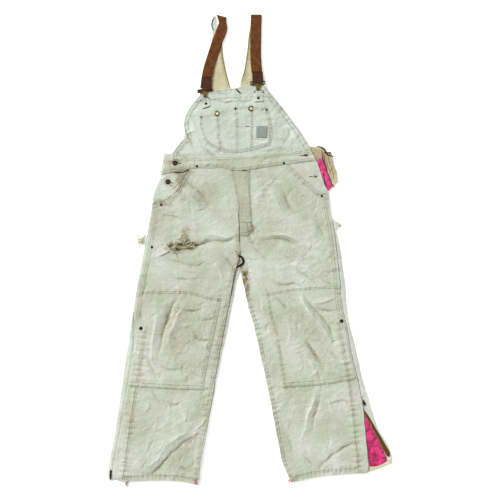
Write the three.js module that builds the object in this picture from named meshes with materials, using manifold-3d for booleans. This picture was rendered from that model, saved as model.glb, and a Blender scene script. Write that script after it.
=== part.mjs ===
// Quilt-lined work overalls with a bib, laid flat on their back, in millimetres.
// X runs to the wearer's left, Y from the hems to the straps, Z up from the surface they lie on.
import * as THREE from 'three';
import { mergeVertices } from 'three/addons/utils/BufferGeometryUtils.js';
import Module from 'manifold-3d';

const wasm = await Module();
wasm.setup();

// Overall size of the garment as it lies.
const laidWidth = 968;
const laidLength = 1600;

// Walls: what each piece measures through its thickness.
const seamGap = 0.3;
const backWall = 4; // duck and quilted lining, pressed by what lies on them
const legWall = 5; // duck and quilted lining of the front
const bandWall = 6; // waistband, where the seams of bib and legs double up
const bibWall = 3;
const duck = 1.2; // one turned ply of canvas
const webbing = 1.6;
const flapWall = 1.6;

// How far the front rises off the back away from its edges.
const crownHeight = 2.7;
const crownReach = 85;
const liftLimit = 3.5;

// The grid that every lifted surface shares, so that plies stay parallel.
const cellsAcross = 28;
const cellsAlong = 46;
const gridWidth = laidWidth + 8;
const gridLength = laidLength + 8;

// Other driving sizes.
const strapWidth = 37;
const strapReach = 205; // from the top fold to the doubled end at the buckle
const hemDepth = 18;
const snapHeightRight = -268; // top of the zip plackets
const snapHeightLeft = -245;
const waistBack = 262; // seam of the back waistband and seat
const yokeBack = 328; // seam of the back waistband and back bib

const colours = {
  duckPale: '#c7cbbb',
  duckBib: '#cfd8cb',
  duckWorn: '#b9bca9',
  duckInside: '#d0c8a3',
  lining: '#d03a74',
  elastic: '#5f3e25',
  elasticEnd: '#4e3027',
  zipTape: '#5d4220',
  label: '#939d95',
  brass: '#9a7a3c',
  nickel: '#a9aaa4',
  darkRivet: '#3e3f36',
  buttonBrown: '#4a3320',
};

// ---------------------------------------------------------------- lines of the pattern

// The back's outer line on the wearer's right, from the waist to the hem.
const backSideRight = [
  [-290, 328], [-304, 250], [-325, 196], [-338, 110], [-352, 36], [-366, -40], [-382, -117],
  [-399, -226], [-420, -360], [-440, -498], [-459, -620], [-478, -718], [-484, -766],
];
const inseamRight = [
  [-44, -62], [-60, -137], [-65, -167], [-73, -205], [-88, -280], [-109, -389], [-134, -552], [-163, -716],
  [-175, -800],
];
// The back's inseams meet lower down, and on the wearer's right they show beyond the front's.
const backInseamRight = [
  [-31.5, -83], [-40, -97], [-50, -130], [-54, -165], [-60, -192], [-77, -280], [-101, -389], [-132, -552],
  [-163, -716],
];
const inseamLeft = [
  [-34, -64], [-22, -117], [-7, -190], [19, -280], [43, -389], [77, -552], [108, -716], [140, -792],
];
// The back's outer line on the wearer's left; it swings out where the leg zip is open.
const backSideLeft = [
  [264, 200], [270, 160], [277, 124], [291, 73], [305, 19], [316, -50], [326, -130], [334, -230],
  [361, -335], [386, -444], [412, -530], [436, -607], [471, -661], [484, -705], [484, -727],
];
const frontSideLeft = [
  [270, 182], [276, 128], [284, 92], [296, 0], [307, -104], [314, -190], [328, -257], [348, -359],
  [369, -444], [384, -522], [394, -614], [406, -744],
];
const centreSeam = [[-56, 266], [-46, 219], [-38, 178], [-32, 140], [-32, 46], [-29, -4], [-38, -64]];
const waistSeam = [
  [-300, 254], [-253, 263], [-190, 276], [-80, 277], [-56, 266], [0, 270], [117, 287], [228, 302],
];
const waistTop = [[-286, 305], [-180, 308], [-73, 311], [0, 315], [110, 323], [209, 338]];
const hemRight = [[-431, -790], [-372, -788], [-304, -785], [-236, -788], [-175, -800]];
const hemLeft = [[140, -792], [206, -777], [274, -767], [330, -763], [372, -761]];
const bibTop = [[-173, 522], [-128, 541], [-63, 549], [-46, 550], [-29, 556], [8, 562], [54, 556]];
const bibSideLeft = [[54, 556], [80, 522], [114, 481], [155, 427], [176, 398], [192, 372], [209, 338]];
const bibSideRight = [
  [-262, 306], [-264, 328], [-250, 346], [-230, 372], [-213, 383], [-222, 404], [-225, 428],
  [-219, 454], [-205, 483], [-173, 522],
];
const slashRight = [[-203, 273], [-229, 238], [-244, 202], [-276, 170], [-331, 151]];
const slashLeft = [[131, 288.8], [188, 237], [246, 188], [270, 182]];
const hipOpening = [[267, 199], [257, 219], [243, 262], [229, 302]]; // the front's edge where the side is undone

// Long soft creases of the front: where each runs, its half width and its height.
const creases = [
  { path: [[165, -155], [182, -206], [192, -232]], reach: 22, height: -0.9 },
  { path: [[206, -172], [240, -257], [274, -308]], reach: 26, height: 1.1 },
  { path: [[138, 46], [206, -4]], reach: 28, height: -0.8 },
  { path: [[-253, -172], [-298, -274]], reach: 26, height: 0.9 },
  { path: [[-321, -760], [-287, -699], [-236, -648], [-202, -620]], reach: 24, height: -0.9 },
  { path: [[199, -733], [274, -682], [342, -648]], reach: 24, height: -0.9 },
  { path: [[-185, 236], [-151, 151], [-117, 100]], reach: 34, height: -0.9 },
  { path: [[-223, 406], [-185, 338]], reach: 24, height: 1.2 },
  { path: [[-168, 355], [-73, 284]], reach: 26, height: 1.0 },
  { path: [[-185, 8], [-117, 24]], reach: 24, height: -0.7 },
  { path: [[10, 240], [60, 90], [40, -60]], reach: 40, height: 0.6 },
];

function smooth(points, steps) {
  const curve = new THREE.SplineCurve(points.map(([x, y]) => new THREE.Vector2(x, y)));
  return curve.getPoints(steps).map((point) => [point.x, point.y]);
}

function shifted(points, dx, dy) {
  return points.map(([x, y]) => [x + dx, y + dy]);
}

// The part of a line between two heights, with its ends cut at those heights.
function between(points, high, low) {
  const at = (height) => {
    const index = points.findIndex(([, y], i) => i > 0 && y <= height && points[i - 1][1] >= height);
    const [x0, y0] = points[index - 1];
    const [x1, y1] = points[index];
    return [x0 + ((x1 - x0) * (height - y0)) / (y1 - y0), height];
  };
  return [at(high), ...points.filter(([, y]) => y < high - 1 && y > low + 1), at(low)];
}

function backwards(points) {
  return [...points].reverse();
}

// The front's outer edge on the right: just inside the back above the snap, and drawn in
// below it, where the placket shows a strip of the back panel past its edge.
function tuckedSide([x, y]) {
  const strip = THREE.MathUtils.clamp((snapHeightRight + 14 - y) / 28, 0, 1);
  const taper = THREE.MathUtils.mapLinear(y, snapHeightRight, -770, 20, 14);
  return [x + 3 + strip * taper, y];
}
const sideRight = smooth(backSideRight, 26);
const frontSideRight = sideRight.map(tuckedSide);

// ---------------------------------------------------------------- heights

function segmentDistance(x, y, [x0, y0], [x1, y1]) {
  const dx = x1 - x0;
  const dy = y1 - y0;
  const along = THREE.MathUtils.clamp(((x - x0) * dx + (y - y0) * dy) / (dx * dx + dy * dy), 0, 1);
  return Math.hypot(x - x0 - along * dx, y - y0 - along * dy);
}

function lineDistance(x, y, points) {
  let nearest = Infinity;
  for (let i = 1; i < points.length; i += 1) {
    nearest = Math.min(nearest, segmentDistance(x, y, points[i - 1], points[i]));
  }
  return nearest;
}

const frontEdges = [
  frontSideRight, inseamRight, inseamLeft, frontSideLeft, hemRight, hemLeft, bibTop, bibSideLeft, bibSideRight,
];

// How far the front lies above the back at a point of the plan.
function frontLift(x, y) {
  const reach = Math.min(...frontEdges.map((edge) => lineDistance(x, y, edge)));
  const crown = crownHeight * THREE.MathUtils.smoothstep(reach, 0, crownReach);
  let folds = 0;
  for (const crease of creases) {
    folds += crease.height * Math.exp(-((lineDistance(x, y, crease.path) / crease.reach) ** 2));
  }
  return THREE.MathUtils.clamp(crown + folds, 0, liftLimit);
}

// The lift at the grid's corners, worked out once.
const cellWidth = gridWidth / cellsAcross;
const cellLength = gridLength / cellsAlong;
const liftGrid = [];
for (let row = 0; row <= cellsAlong; row += 1) {
  for (let column = 0; column <= cellsAcross; column += 1) {
    liftGrid.push(frontLift(column * cellWidth - gridWidth / 2, gridLength / 2 - row * cellLength));
  }
}
const liftAt = (row, column) => liftGrid[row * (cellsAcross + 1) + column];

// The lift of the flat facets between those corners, for what sits on the cloth.
function facetLift(x, y) {
  const across = (x + gridWidth / 2) / cellWidth;
  const down = (gridLength / 2 - y) / cellLength;
  const column = Math.floor(across);
  const row = Math.floor(down);
  const u = across - column;
  const v = down - row;
  const topRight = liftAt(row, column + 1);
  const bottomLeft = liftAt(row + 1, column);
  if (u + v <= 1) {
    const topLeft = liftAt(row, column);
    return topLeft + u * (topRight - topLeft) + v * (bottomLeft - topLeft);
  }
  const bottomRight = liftAt(row + 1, column + 1);
  return bottomRight + (1 - u) * (bottomLeft - bottomRight) + (1 - v) * (topRight - bottomRight);
}

// ---------------------------------------------------------------- solids

function toManifold(geometry) {
  const bare = geometry.clone();
  bare.deleteAttribute('normal');
  bare.deleteAttribute('uv');
  const merged = mergeVertices(bare);
  return new wasm.Manifold(new wasm.Mesh({
    numProp: 3,
    vertProperties: new Float32Array(merged.attributes.position.array),
    triVerts: new Uint32Array(merged.index.array),
  }));
}

function toGeometry(solid) {
  const mesh = solid.getMesh();
  const geometry = new THREE.BufferGeometry();
  geometry.setAttribute('position', new THREE.BufferAttribute(mesh.vertProperties, 3));
  geometry.setIndex(new THREE.BufferAttribute(mesh.triVerts, 1));
  geometry.computeVertexNormals();
  return geometry;
}

// Everything below the front's lower face raised by a height.
const groundDepth = -30;
const grounds = new Map();
function groundUnder(height) {
  if (!grounds.has(height)) {
    const block = new THREE.BoxGeometry(gridWidth, gridLength, 1, cellsAcross, cellsAlong, 1);
    const position = block.attributes.position;
    for (let i = 0; i < position.count; i += 1) {
      if (position.getZ(i) > 0) {
        const column = Math.round((position.getX(i) + gridWidth / 2) / cellWidth);
        const row = Math.round((gridLength / 2 - position.getY(i)) / cellLength);
        position.setZ(i, height + liftAt(row, column));
      } else {
        position.setZ(i, groundDepth);
      }
    }
    grounds.set(height, toManifold(block));
  }
  return grounds.get(height);
}

// A closed outline, drawn in by half a seam gap so that neighbours on one line stay apart.
function drawnIn(outline, amount) {
  const points = outline.filter((point, i) => {
    const before = outline[(i + outline.length - 1) % outline.length];
    return Math.hypot(point[0] - before[0], point[1] - before[1]) > 0.5;
  });
  const vectors = points.map(([x, y]) => new THREE.Vector2(x, y));
  if (THREE.ShapeUtils.isClockWise(vectors)) {
    vectors.reverse();
  }
  const count = vectors.length;
  return vectors.map((point, i) => {
    const before = point.clone().sub(vectors[(i + count - 1) % count]).normalize();
    const after = vectors[(i + 1) % count].clone().sub(point).normalize();
    const inward = new THREE.Vector2(-before.y - after.y, before.x + after.x).normalize();
    const spread = Math.max(0.5, inward.dot(new THREE.Vector2(-before.y, before.x)));
    return point.clone().addScaledVector(inward, amount / spread);
  });
}

function prism(outline, bottom, top) {
  const shape = new THREE.Shape(drawnIn(outline, seamGap / 2));
  const geometry = new THREE.ExtrudeGeometry(shape, { depth: top - bottom, bevelEnabled: false });
  return geometry.translate(0, 0, bottom);
}

const group = new THREE.Group();

function add(name, geometry, colour, roughness, metalness = 0) {
  const material = new THREE.MeshStandardMaterial({ color: colour, roughness, metalness });
  const mesh = new THREE.Mesh(geometry, material);
  mesh.name = name;
  group.add(mesh);
  return mesh;
}

// A piece that lies flat.
function flatPiece(name, outline, bottom, wall, colour) {
  return add(name, prism(outline, bottom, bottom + wall), colour, 0.9);
}

// A piece that follows the front's rise and creases.
const frontBottom = backWall + seamGap;
function liftedPiece(name, outline, bottom, wall, colour) {
  const column = toManifold(prism(outline, 0, frontBottom + 30));
  const solid = column.intersect(groundUnder(bottom + wall)).subtract(groundUnder(bottom));
  return add(name, toGeometry(solid), colour, 0.9);
}

const onLegs = frontBottom + legWall + seamGap;
const onBib = frontBottom + bibWall + seamGap;

// ---------------------------------------------------------------- back

function makeBack() {
  const cornerRight = [[-482, -778], [-475, -786], [-466, -785], [-440, -784]];
  const hemInsetRight = shifted(hemRight, 2, 4);
  const centreBack = between(centreSeam, waistBack, -20);
  flatPiece('back_leg_right', [
    ...between(sideRight, waistBack, -766), ...cornerRight, ...hemInsetRight.slice(1, 4), [-178, -795],
    ...backwards(backInseamRight), ...backwards(centreBack),
  ], 0, backWall, colours.duckPale);
  flatPiece('back_leg_left', [
    ...centreBack, [-30.5, -83], ...inseamLeft.slice(1, -1), [142, -788], [206, -773], [274, -763], [400, -757],
    [412, -756], ...backwards(smooth(backSideLeft, 30)), [202, waistBack],
  ], 0, backWall, colours.duckPale);
  flatPiece('back_waistband', [
    [-290, yokeBack], [-303, waistBack], [202, waistBack], [202, yokeBack],
  ], 0, backWall, colours.duckPale);
  const armRight = [[-130, 700], [-127, 736], [-95, 736], [-93, 700], [-90, 661], [-84, 627], [-76, 593], [-64, 551]];
  const neck = [[-54, 524], [-47, 518], [-41, 526]];
  const armLeft = [[-30, 576], [-19, 610], [-14, 640], [-8, 678], [-4, 719], [3, 770], [40, 770], [38, 700], [44, 590]];
  flatPiece('back_bib', [
    [-258, yokeBack], [-227, 366], [-219, 404], [-221, 430], [-202, 480], [-168, 524], [-156, 590], [-144, 652],
    ...armRight, ...neck, ...armLeft, [50, 556], [76, 522], [110, 481], [151, 427], [188, 370], [200, yokeBack],
  ], 0, backWall, colours.duckInside);
  flatPiece('arm_tip_right', [
    [-128, 736], [-130, 757], [-129, 772], [-124, 785], [-116, 793], [-114, 790], [-113, 768], [-96, 766],
    [-95, 736],
  ], 0, backWall - 0.6, colours.duckBib);
}

// The open hip: the back's edge folded out with its inside up, raised on its own two buttons.
function makeHipFlap() {
  flatPiece('hip_flap_left', [
    [202, 352], [240, 348], [264, 329], [276, 333], [284, 314], [287, 287], [298, 264], [301, 230],
    [280, 208], [264, 200], [202, waistBack],
  ], backWall - flapWall, flapWall, colours.duckInside);
  flatPiece('lining_hip', [
    [232, 308], [246, 312], [262, 272], [281, 214], [277, 206], [269, 199], ...hipOpening,
  ], frontBottom, duck, colours.lining);
}

// The open leg zip: lining, zip and turned edges of the back panel.
function makeOpenLeg() {
  flatPiece('lining_leg', [
    [389, -557], [400, -664], [409, -740], [440, -735], [466, -722], [463, -701], [424, -620],
  ], frontBottom, duck, colours.lining);
  flatPiece('zip_strip_left', [
    [388, -545], [398, -556], [432, -612], [478, -690], [476, -706], [466, -703], [426, -621], [390, -556],
  ], frontBottom, 1.8, colours.zipTape);
  flatPiece('back_facing_left', [
    [409, -741], [440, -736], [468, -722], [483, -706], [483, -726], [446, -742], [412, -755],
  ], frontBottom, duck, colours.duckInside);
  flatPiece('zip_slider_left', [
    [387, -509], [396, -526], [390, -531], [386, -524],
  ], frontBottom, 3.4, colours.darkRivet);
  flatPiece('zip_end_right', [
    [-475, -750], [-468, -750], [-468.5, -767], [-470, -782], [-476, -782], [-476, -766],
  ], frontBottom, 2.6, colours.darkRivet);
}

// ---------------------------------------------------------------- front

const placketInnerRight = [
  [-352, snapHeightRight], [-364, -325], [-386, -478], [-402, -580], [-418, -700], [-431, -790],
];
const placketInnerLeft = [
  [299, snapHeightLeft], [325, -376], [342, -478], [359, -614], [368, -720], [372, -761],
];

function makeFrontLegs() {
  const innerRight = smooth(placketInnerRight, 12);
  const innerLeft = smooth(placketInnerLeft, 12);
  const sideLeft = smooth(frontSideLeft, 26);
  liftedPiece('front_leg_right', [
    ...slashRight, ...between(frontSideRight, 150, snapHeightRight), ...between(innerRight, snapHeightRight, -771),
    ...shifted(hemRight.slice(1, 4), 0, hemDepth), [-171, -781], ...backwards(inseamRight.slice(0, -1)),
    ...backwards(centreSeam.slice(0, -1)), [-80, 277], [-190, 276],
  ], frontBottom, legWall, colours.duckPale);
  liftedPiece('front_leg_left', [
    ...centreSeam.slice(0, -1), ...inseamLeft.slice(0, -1), [133, -775], ...shifted(hemLeft.slice(1, 4), 0, hemDepth),
    [369, -744], ...backwards(between(innerLeft, snapHeightLeft, -743)),
    ...backwards(between(sideLeft, 182, snapHeightLeft)), ...backwards(slashLeft), [117, 287], [0, 270],
  ], frontBottom, legWall, colours.duckPale);
  liftedPiece('zip_placket_right', [
    ...between(frontSideRight, snapHeightRight, -765), [-464, -778], [-449, -785], [-432, -789],
    ...backwards(between(innerRight, snapHeightRight, -784)),
  ], frontBottom, legWall, colours.duckPale);
  liftedPiece('zip_placket_left', [
    ...between(innerLeft, snapHeightLeft, -755), [372, -761], [400, -759], [406, -744],
    ...backwards(between(sideLeft, snapHeightLeft, -742)),
  ], frontBottom, legWall, colours.duckPale);
  liftedPiece('hem_band_right', [
    [-428, -772], ...shifted(hemRight.slice(1, 4), 0, hemDepth), [-171, -781], ...backwards(hemRight),
  ], frontBottom, legWall, colours.duckPale);
  liftedPiece('hem_band_left', [
    [133, -775], ...shifted(hemLeft.slice(1, 4), 0, hemDepth), [369, -744], ...backwards(hemLeft),
  ], frontBottom, legWall, colours.duckPale);
}

function makeHips() {
  liftedPiece('hip_facing_right', [
    [-300, 254], [-253, 263], ...slashRight, ...backwards(between(frontSideRight, 250, 152)),
  ], frontBottom, legWall, colours.duckPale);
  liftedPiece('hip_facing_left', [
    ...slashLeft, ...hipOpening,
  ], frontBottom, legWall, colours.duckPale);
  liftedPiece('front_waistband', [
    ...waistSeam, ...backwards(waistTop),
  ], frontBottom, bandWall, colours.duckPale);
  liftedPiece('fly', [
    [-55, 265], ...centreSeam.slice(1, 5), [-8, 44], [12, 66], [9, 94], [5, 151], [2, 202], [2, 269],
  ], onLegs, duck, colours.duckWorn);
}

function makeBib() {
  liftedPiece('bib_front', [
    ...bibTop, ...bibSideLeft.slice(1), ...backwards(waistTop).slice(1, 5), ...bibSideRight.slice(0, -1),
  ], frontBottom, bibWall, colours.duckBib);
  liftedPiece('bib_pocket', [
    [-168, 454], [-110, 468], [-49, 484], [12, 488], [63, 478], [73, 440], [77, 400], [76, 372],
    ...smooth([[68, 354], [42, 345], [2, 335], [-42, 329], [-73, 329], [-107, 338], [-134, 349]], 9),
    [-156, 372], [-168, 406], [-173, 433],
  ], onBib, duck, colours.duckBib);
  liftedPiece('label_patch', [
    [22, 381], [60, 379], [61, 420], [23, 420],
  ], onBib + duck + seamGap, 0.8, colours.label);
  liftedPiece('strap_tab_right', [
    [-168, 504], [-136, 513], [-131, 488], [-161, 479],
  ], onBib, duck, colours.duckBib);
  liftedPiece('strap_tab_left', [
    [15, 530], [49, 532], [49, 504], [15, 501],
  ], onBib, duck, colours.duckBib);
}

function makeKneePatches() {
  liftedPiece('knee_patch_right', [
    [-378, -141], [-290, -139], [-202, -141], [-151, -155], [-97, -165], [-117, -274], [-134, -342],
    [-158, -478], [-287, -474], [-407, -465], ...backwards(between(shifted(frontSideRight, 6, 0), -172, -440)),
  ], onLegs, duck, colours.duckPale);
  liftedPiece('knee_patch_left', [
    [53, -148], [104, -138], [172, -128], [303, -121], ...between(shifted(smooth(frontSideLeft, 26), -5, 0), -140, -420),
    [361, -438], [308, -450], [240, -461], [114, -471], [94, -342], [80, -274], [63, -206],
  ], onLegs, duck, colours.duckPale);
}

// Loops sewn into the side seams, lying just above the back's edge.
function makeToolLoops() {
  flatPiece('tool_loop_right', [
    [-351, 54], [-361, 48], [-374, 34], [-368, 18], [-357, 14],
  ], frontBottom, duck, colours.duckPale);
  flatPiece('tool_loop_left', [
    [284, 105], [308, 87], [304, 78], [291, 64],
  ], frontBottom, duck, colours.duckPale);
}

// ---------------------------------------------------------------- straps

// A strap seen from its side: a short run on the surface, a fold at the top, and a long run
// that climbs to the buckle. Each entry of the long run is [distance below the top, lower face].
function strapSide(longRun, shortRun) {
  const outer = [[-shortRun, 0], [-4, 0], [-1.4, 0.8], [0, 3], [-1.4, 5.4], [-4, 6.2]];
  const inner = [[-4, 4.5], [-2.6, 4.1], [-1.7, 3], [-2.6, 2], [-4, webbing], [-shortRun, webbing]];
  const lower = longRun.map(([down, z]) => new THREE.Vector2(-down, z));
  const upper = longRun.map(([down, z]) => new THREE.Vector2(-down, z + webbing)).reverse();
  const folded = (points) => points.map(([down, z]) => new THREE.Vector2(down, z));
  return new THREE.Shape([...folded(outer), ...upper.reverse(), ...lower.reverse(), ...folded(inner)]);
}

// The strap's width is extruded, stood along Y, and moved sideways along its centre line.
// Its ends slope across the width, by one amount at the top and another at the buckle.
function strapGeometry(side, topY, centreLine, topSlope, endSlope) {
  const geometry = new THREE.ExtrudeGeometry(side, { depth: strapWidth, bevelEnabled: false });
  const position = geometry.attributes.position;
  const centre = smooth(centreLine, 40);
  const centreAt = (y) => {
    const index = centre.findIndex((point) => point[1] <= y);
    return centre[Math.max(0, index < 0 ? centre.length - 1 : index)][0];
  };
  for (let i = 0; i < position.count; i += 1) {
    const y = position.getX(i) + topY;
    const z = position.getY(i);
    const across = position.getZ(i) - strapWidth / 2;
    const slope = THREE.MathUtils.mapLinear(y, topY, topY - strapReach, topSlope, endSlope);
    position.setXYZ(i, centreAt(y) + across, y + slope * across, z);
  }
  return geometry;
}

const longRuns = {
  right: [[40, 4.6], [80, 4.8], [120, 5.4], [160, 6], [210, 6.8]],
  left: [[50, 4.6], [100, 5], [150, 5.6], [198, 6.6]],
};
const centreLines = {
  right: [[-93, 800], [-91, 765], [-98, 736], [-112, 700], [-126, 658], [-138, 620], [-145, 585], [-150, 550]],
  left: [[23, 800], [21, 695], [22, 638], [27, 590], [29, 560]],
};

function makeStrap(side, topY, shortRun, topSlope, endSlope) {
  const shape = strapSide(longRuns[side], shortRun);
  const geometry = strapGeometry(shape, topY, centreLines[side], topSlope, endSlope);
  add(`strap_${side}`, geometry, colours.elastic, 0.85);
}

// ---------------------------------------------------------------- metal

// A turned shape on the cloth at a place of the plan; the profile is [radius, height].
function turned(name, profile, [x, y], base, colour, roughness, metalness, sides = 12) {
  const points = profile.map(([radius, z]) => new THREE.Vector2(radius, z));
  const geometry = new THREE.LatheGeometry(points, sides);
  const mesh = add(name, geometry, colour, roughness, metalness);
  mesh.rotation.x = Math.PI / 2;
  mesh.position.set(x, y, base);
  return mesh;
}

const metalGap = 0.45;
const rivetProfile = [[0, 0], [4.6, 0], [4.6, 0.6], [3.4, 1.5], [0, 2]];
const studProfile = [[0, 0], [8.5, 0], [8.5, 1.2], [7, 2.6], [5.4, 1.4], [0, 2]];
const buttonProfile = [[0, 0], [6, 0], [6.4, 0.8], [8.5, 1.1], [8.5, 2], [7, 2.8], [0, 2.4]];
const snapProfile = [[0, 0], [6, 0], [6, 1], [4.6, 2], [0, 1.6]];
const flapButtonProfile = [[0, 0], [8.5, 0], [8.5, 1.2], [5, 2], [0, 2]];

function rivet(name, place, base) {
  turned(name, rivetProfile, place, facetLift(...place) + base + metalGap, colours.darkRivet, 0.5, 0.9, 10);
}

function makeRivets() {
  const onPocket = onBib + duck;
  rivet('pocket_rivet_right', [-164, 450], onPocket);
  rivet('pocket_rivet_middle', [-48, 479], onPocket);
  rivet('pocket_rivet_left', [59, 474], onPocket);
  rivet('tab_rivet_right', [-148, 496], onPocket);
  rivet('tab_rivet_left', [30, 515], onPocket);
  rivet('waist_rivet_right', [-178, 283], frontBottom + bandWall);
  rivet('waist_rivet_left', [117, 293], frontBottom + bandWall);
  rivet('slash_rivet_right', [-300, 152], frontBottom + legWall);
  rivet('slash_rivet_left', [246, 182], frontBottom + legWall);
  rivet('side_rivet_right', [-332, 8], frontBottom + legWall);
  rivet('patch_rivet_right', [-106, -172], onLegs + duck);
}

function makeButtons() {
  const studBase = onBib + duck + metalGap;
  for (const [name, place] of [['pocket_stud_right', [-110, 462]], ['pocket_stud_left', [5, 479]]]) {
    turned(name, studProfile, place, facetLift(...place) + studBase, colours.brass, 0.35, 1);
  }
  const waist = [-253, 294];
  const hip = [-277, 230];
  turned('waist_button_right', buttonProfile, waist, facetLift(...waist) + frontBottom + bandWall + metalGap,
    colours.buttonBrown, 0.6, 0.6);
  turned('hip_button_right', buttonProfile, hip, facetLift(...hip) + frontBottom + legWall + metalGap,
    colours.buttonBrown, 0.6, 0.6);
  for (const [name, place] of [['leg_snap_right', [-369, -268]], ['leg_snap_left', [313, -243]]]) {
    turned(name, snapProfile, place, facetLift(...place) + onLegs + duck + metalGap, colours.buttonBrown, 0.5, 0.7);
  }
  turned('waist_button_left', flapButtonProfile, [262, 296], 0, colours.buttonBrown, 0.6, 0.6);
  turned('hip_button_left', flapButtonProfile, [282, 236], 0, colours.buttonBrown, 0.6, 0.6);
}

const buckleLevel = 8.4;
const slideThickness = 2.4;

// Webbing doubled back at the buckle, over the strap's end.
function makeStrapEnds() {
  const level = buckleLevel + seamGap;
  flatPiece('strap_end_right', [[-163, 581], [-126, 587], [-130, 553], [-168, 546.5]], level, duck, colours.elasticEnd);
  flatPiece('strap_end_left', [[8.5, 602], [46, 603], [48, 574], [10, 572.3]], level, duck, colours.elasticEnd);
}

// A frame that the webbing turns round, wider than the webbing.
function makeSlide(side, place, turn) {
  const width = 51;
  const height = 13;
  const frame = new THREE.Shape();
  frame.moveTo(-width / 2 + 3, -height / 2);
  frame.lineTo(width / 2 - 3, -height / 2);
  frame.absarc(width / 2 - 3, -height / 2 + 3, 3, -Math.PI / 2, 0);
  frame.absarc(width / 2 - 3, height / 2 - 3, 3, 0, Math.PI / 2);
  frame.absarc(-width / 2 + 3, height / 2 - 3, 3, Math.PI / 2, Math.PI);
  frame.absarc(-width / 2 + 3, -height / 2 + 3, 3, Math.PI, Math.PI * 1.5);
  const slot = new THREE.Path();
  slot.moveTo(-20, 0);
  slot.lineTo(-20, 3.4);
  slot.lineTo(20, 3.4);
  slot.lineTo(20, 0);
  frame.holes.push(slot);
  const geometry = new THREE.ExtrudeGeometry(frame, { depth: slideThickness, bevelEnabled: false, curveSegments: 3 });
  const mesh = add(`slide_${side}`, geometry, colours.brass, 0.4, 1);
  mesh.position.set(place[0], place[1], buckleLevel);
  mesh.rotation.z = turn;
}

// The hook's front: it hangs from the slide's lower bar and lies over the ring's wire.
function makeHook(side, place, turn) {
  const hook = new THREE.Shape();
  hook.moveTo(-9, 10);
  hook.lineTo(-8, 4);
  hook.lineTo(-5, 1);
  hook.lineTo(-5, -8);
  hook.lineTo(-3, -10);
  hook.lineTo(3, -10);
  hook.lineTo(5, -8);
  hook.lineTo(5, 1);
  hook.lineTo(8, 4);
  hook.lineTo(9, 10);
  const geometry = new THREE.ExtrudeGeometry(hook, { depth: 2, bevelEnabled: false });
  const mesh = add(`hook_${side}`, geometry, colours.brass, 0.4, 1);
  mesh.position.set(place[0], place[1], buckleLevel + slideThickness + seamGap);
  mesh.rotation.z = turn;
}

// The wire ring, as far as it shows out of its tab.
function makeRing(side, place, turn) {
  const half = 15.5;
  const path = new THREE.CatmullRomCurve3([
    new THREE.Vector3(-half, -2.4, 0),
    new THREE.Vector3(-half + 0.8, 0, 0),
    new THREE.Vector3(-half + 6, 3.4, 0),
    new THREE.Vector3(half - 6, 3.4, 0),
    new THREE.Vector3(half - 0.8, 0, 0),
    new THREE.Vector3(half, -2.4, 0),
  ]);
  const wire = new THREE.Shape();
  wire.absarc(0, 0, 1.2, 0, Math.PI * 2);
  const geometry = new THREE.ExtrudeGeometry(wire, { extrudePath: path, steps: 10, curveSegments: 4 });
  const mesh = add(`ring_${side}`, geometry, colours.nickel, 0.35, 1);
  mesh.position.set(place[0], place[1], buckleLevel + 0.9);
  mesh.rotation.z = turn;
}

// ---------------------------------------------------------------- the garment

makeBack();
makeHipFlap();
makeOpenLeg();
makeFrontLegs();
makeHips();
makeBib();
makeKneePatches();
makeToolLoops();
makeStrap('right', 795, 22, -0.25, 0.17);
makeStrap('left', 800, 28, 0, 0.03);
makeStrapEnds();
makeSlide('right', [-152, 541], 0.17);
makeSlide('left', [28, 566], 0.05);
makeHook('right', [-151, 527.2], 0.12);
makeHook('left', [28, 552], 0.03);
makeRing('right', [-152, 512.5], 0.28);
makeRing('left', [31, 537], 0.03);
makeRivets();
makeButtons();

export default group;
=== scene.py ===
import math
import random

import bmesh
import bpy
import numpy as np
from mathutils import Matrix, Vector
from mathutils.bvhtree import BVHTree
from mathutils.geometry import delaunay_2d_cdt


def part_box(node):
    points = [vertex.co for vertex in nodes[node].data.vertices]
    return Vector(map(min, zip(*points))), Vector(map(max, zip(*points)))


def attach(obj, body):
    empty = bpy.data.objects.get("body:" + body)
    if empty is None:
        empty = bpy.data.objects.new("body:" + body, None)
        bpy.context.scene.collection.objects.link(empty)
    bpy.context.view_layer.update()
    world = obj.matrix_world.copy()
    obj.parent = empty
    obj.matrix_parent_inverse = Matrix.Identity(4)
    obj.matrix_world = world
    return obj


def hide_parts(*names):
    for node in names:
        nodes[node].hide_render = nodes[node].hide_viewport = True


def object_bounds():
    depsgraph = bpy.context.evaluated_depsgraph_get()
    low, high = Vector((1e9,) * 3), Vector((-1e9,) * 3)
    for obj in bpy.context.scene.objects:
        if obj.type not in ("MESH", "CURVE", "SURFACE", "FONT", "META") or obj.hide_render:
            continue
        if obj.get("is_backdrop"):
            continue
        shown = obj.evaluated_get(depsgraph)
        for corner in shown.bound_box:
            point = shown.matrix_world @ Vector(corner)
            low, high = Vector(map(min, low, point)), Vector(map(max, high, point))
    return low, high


# Quilt-lined bib overalls of white-washed duck, laid flat.
# Lengths here are in mm, and Blender's are in metres.
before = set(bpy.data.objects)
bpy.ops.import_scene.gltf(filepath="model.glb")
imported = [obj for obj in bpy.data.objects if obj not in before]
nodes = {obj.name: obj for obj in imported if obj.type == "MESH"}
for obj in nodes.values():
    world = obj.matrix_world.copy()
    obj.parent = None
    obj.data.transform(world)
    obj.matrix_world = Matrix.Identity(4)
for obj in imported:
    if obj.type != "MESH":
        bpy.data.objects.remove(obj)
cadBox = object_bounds()
bpy.ops.object.select_all(action="DESELECT")
print("frame loaded:", len(nodes), "nodes")

toMetres = 0.001
levels = {  # heights of the plies at the garment's edges, as in the CAD
    "backTop": 4.0,
    "frontUnder": 4.3,
    "legTop": 9.3,
    "bibTop": 7.3,
}

# ---- camera, floor and light

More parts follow.
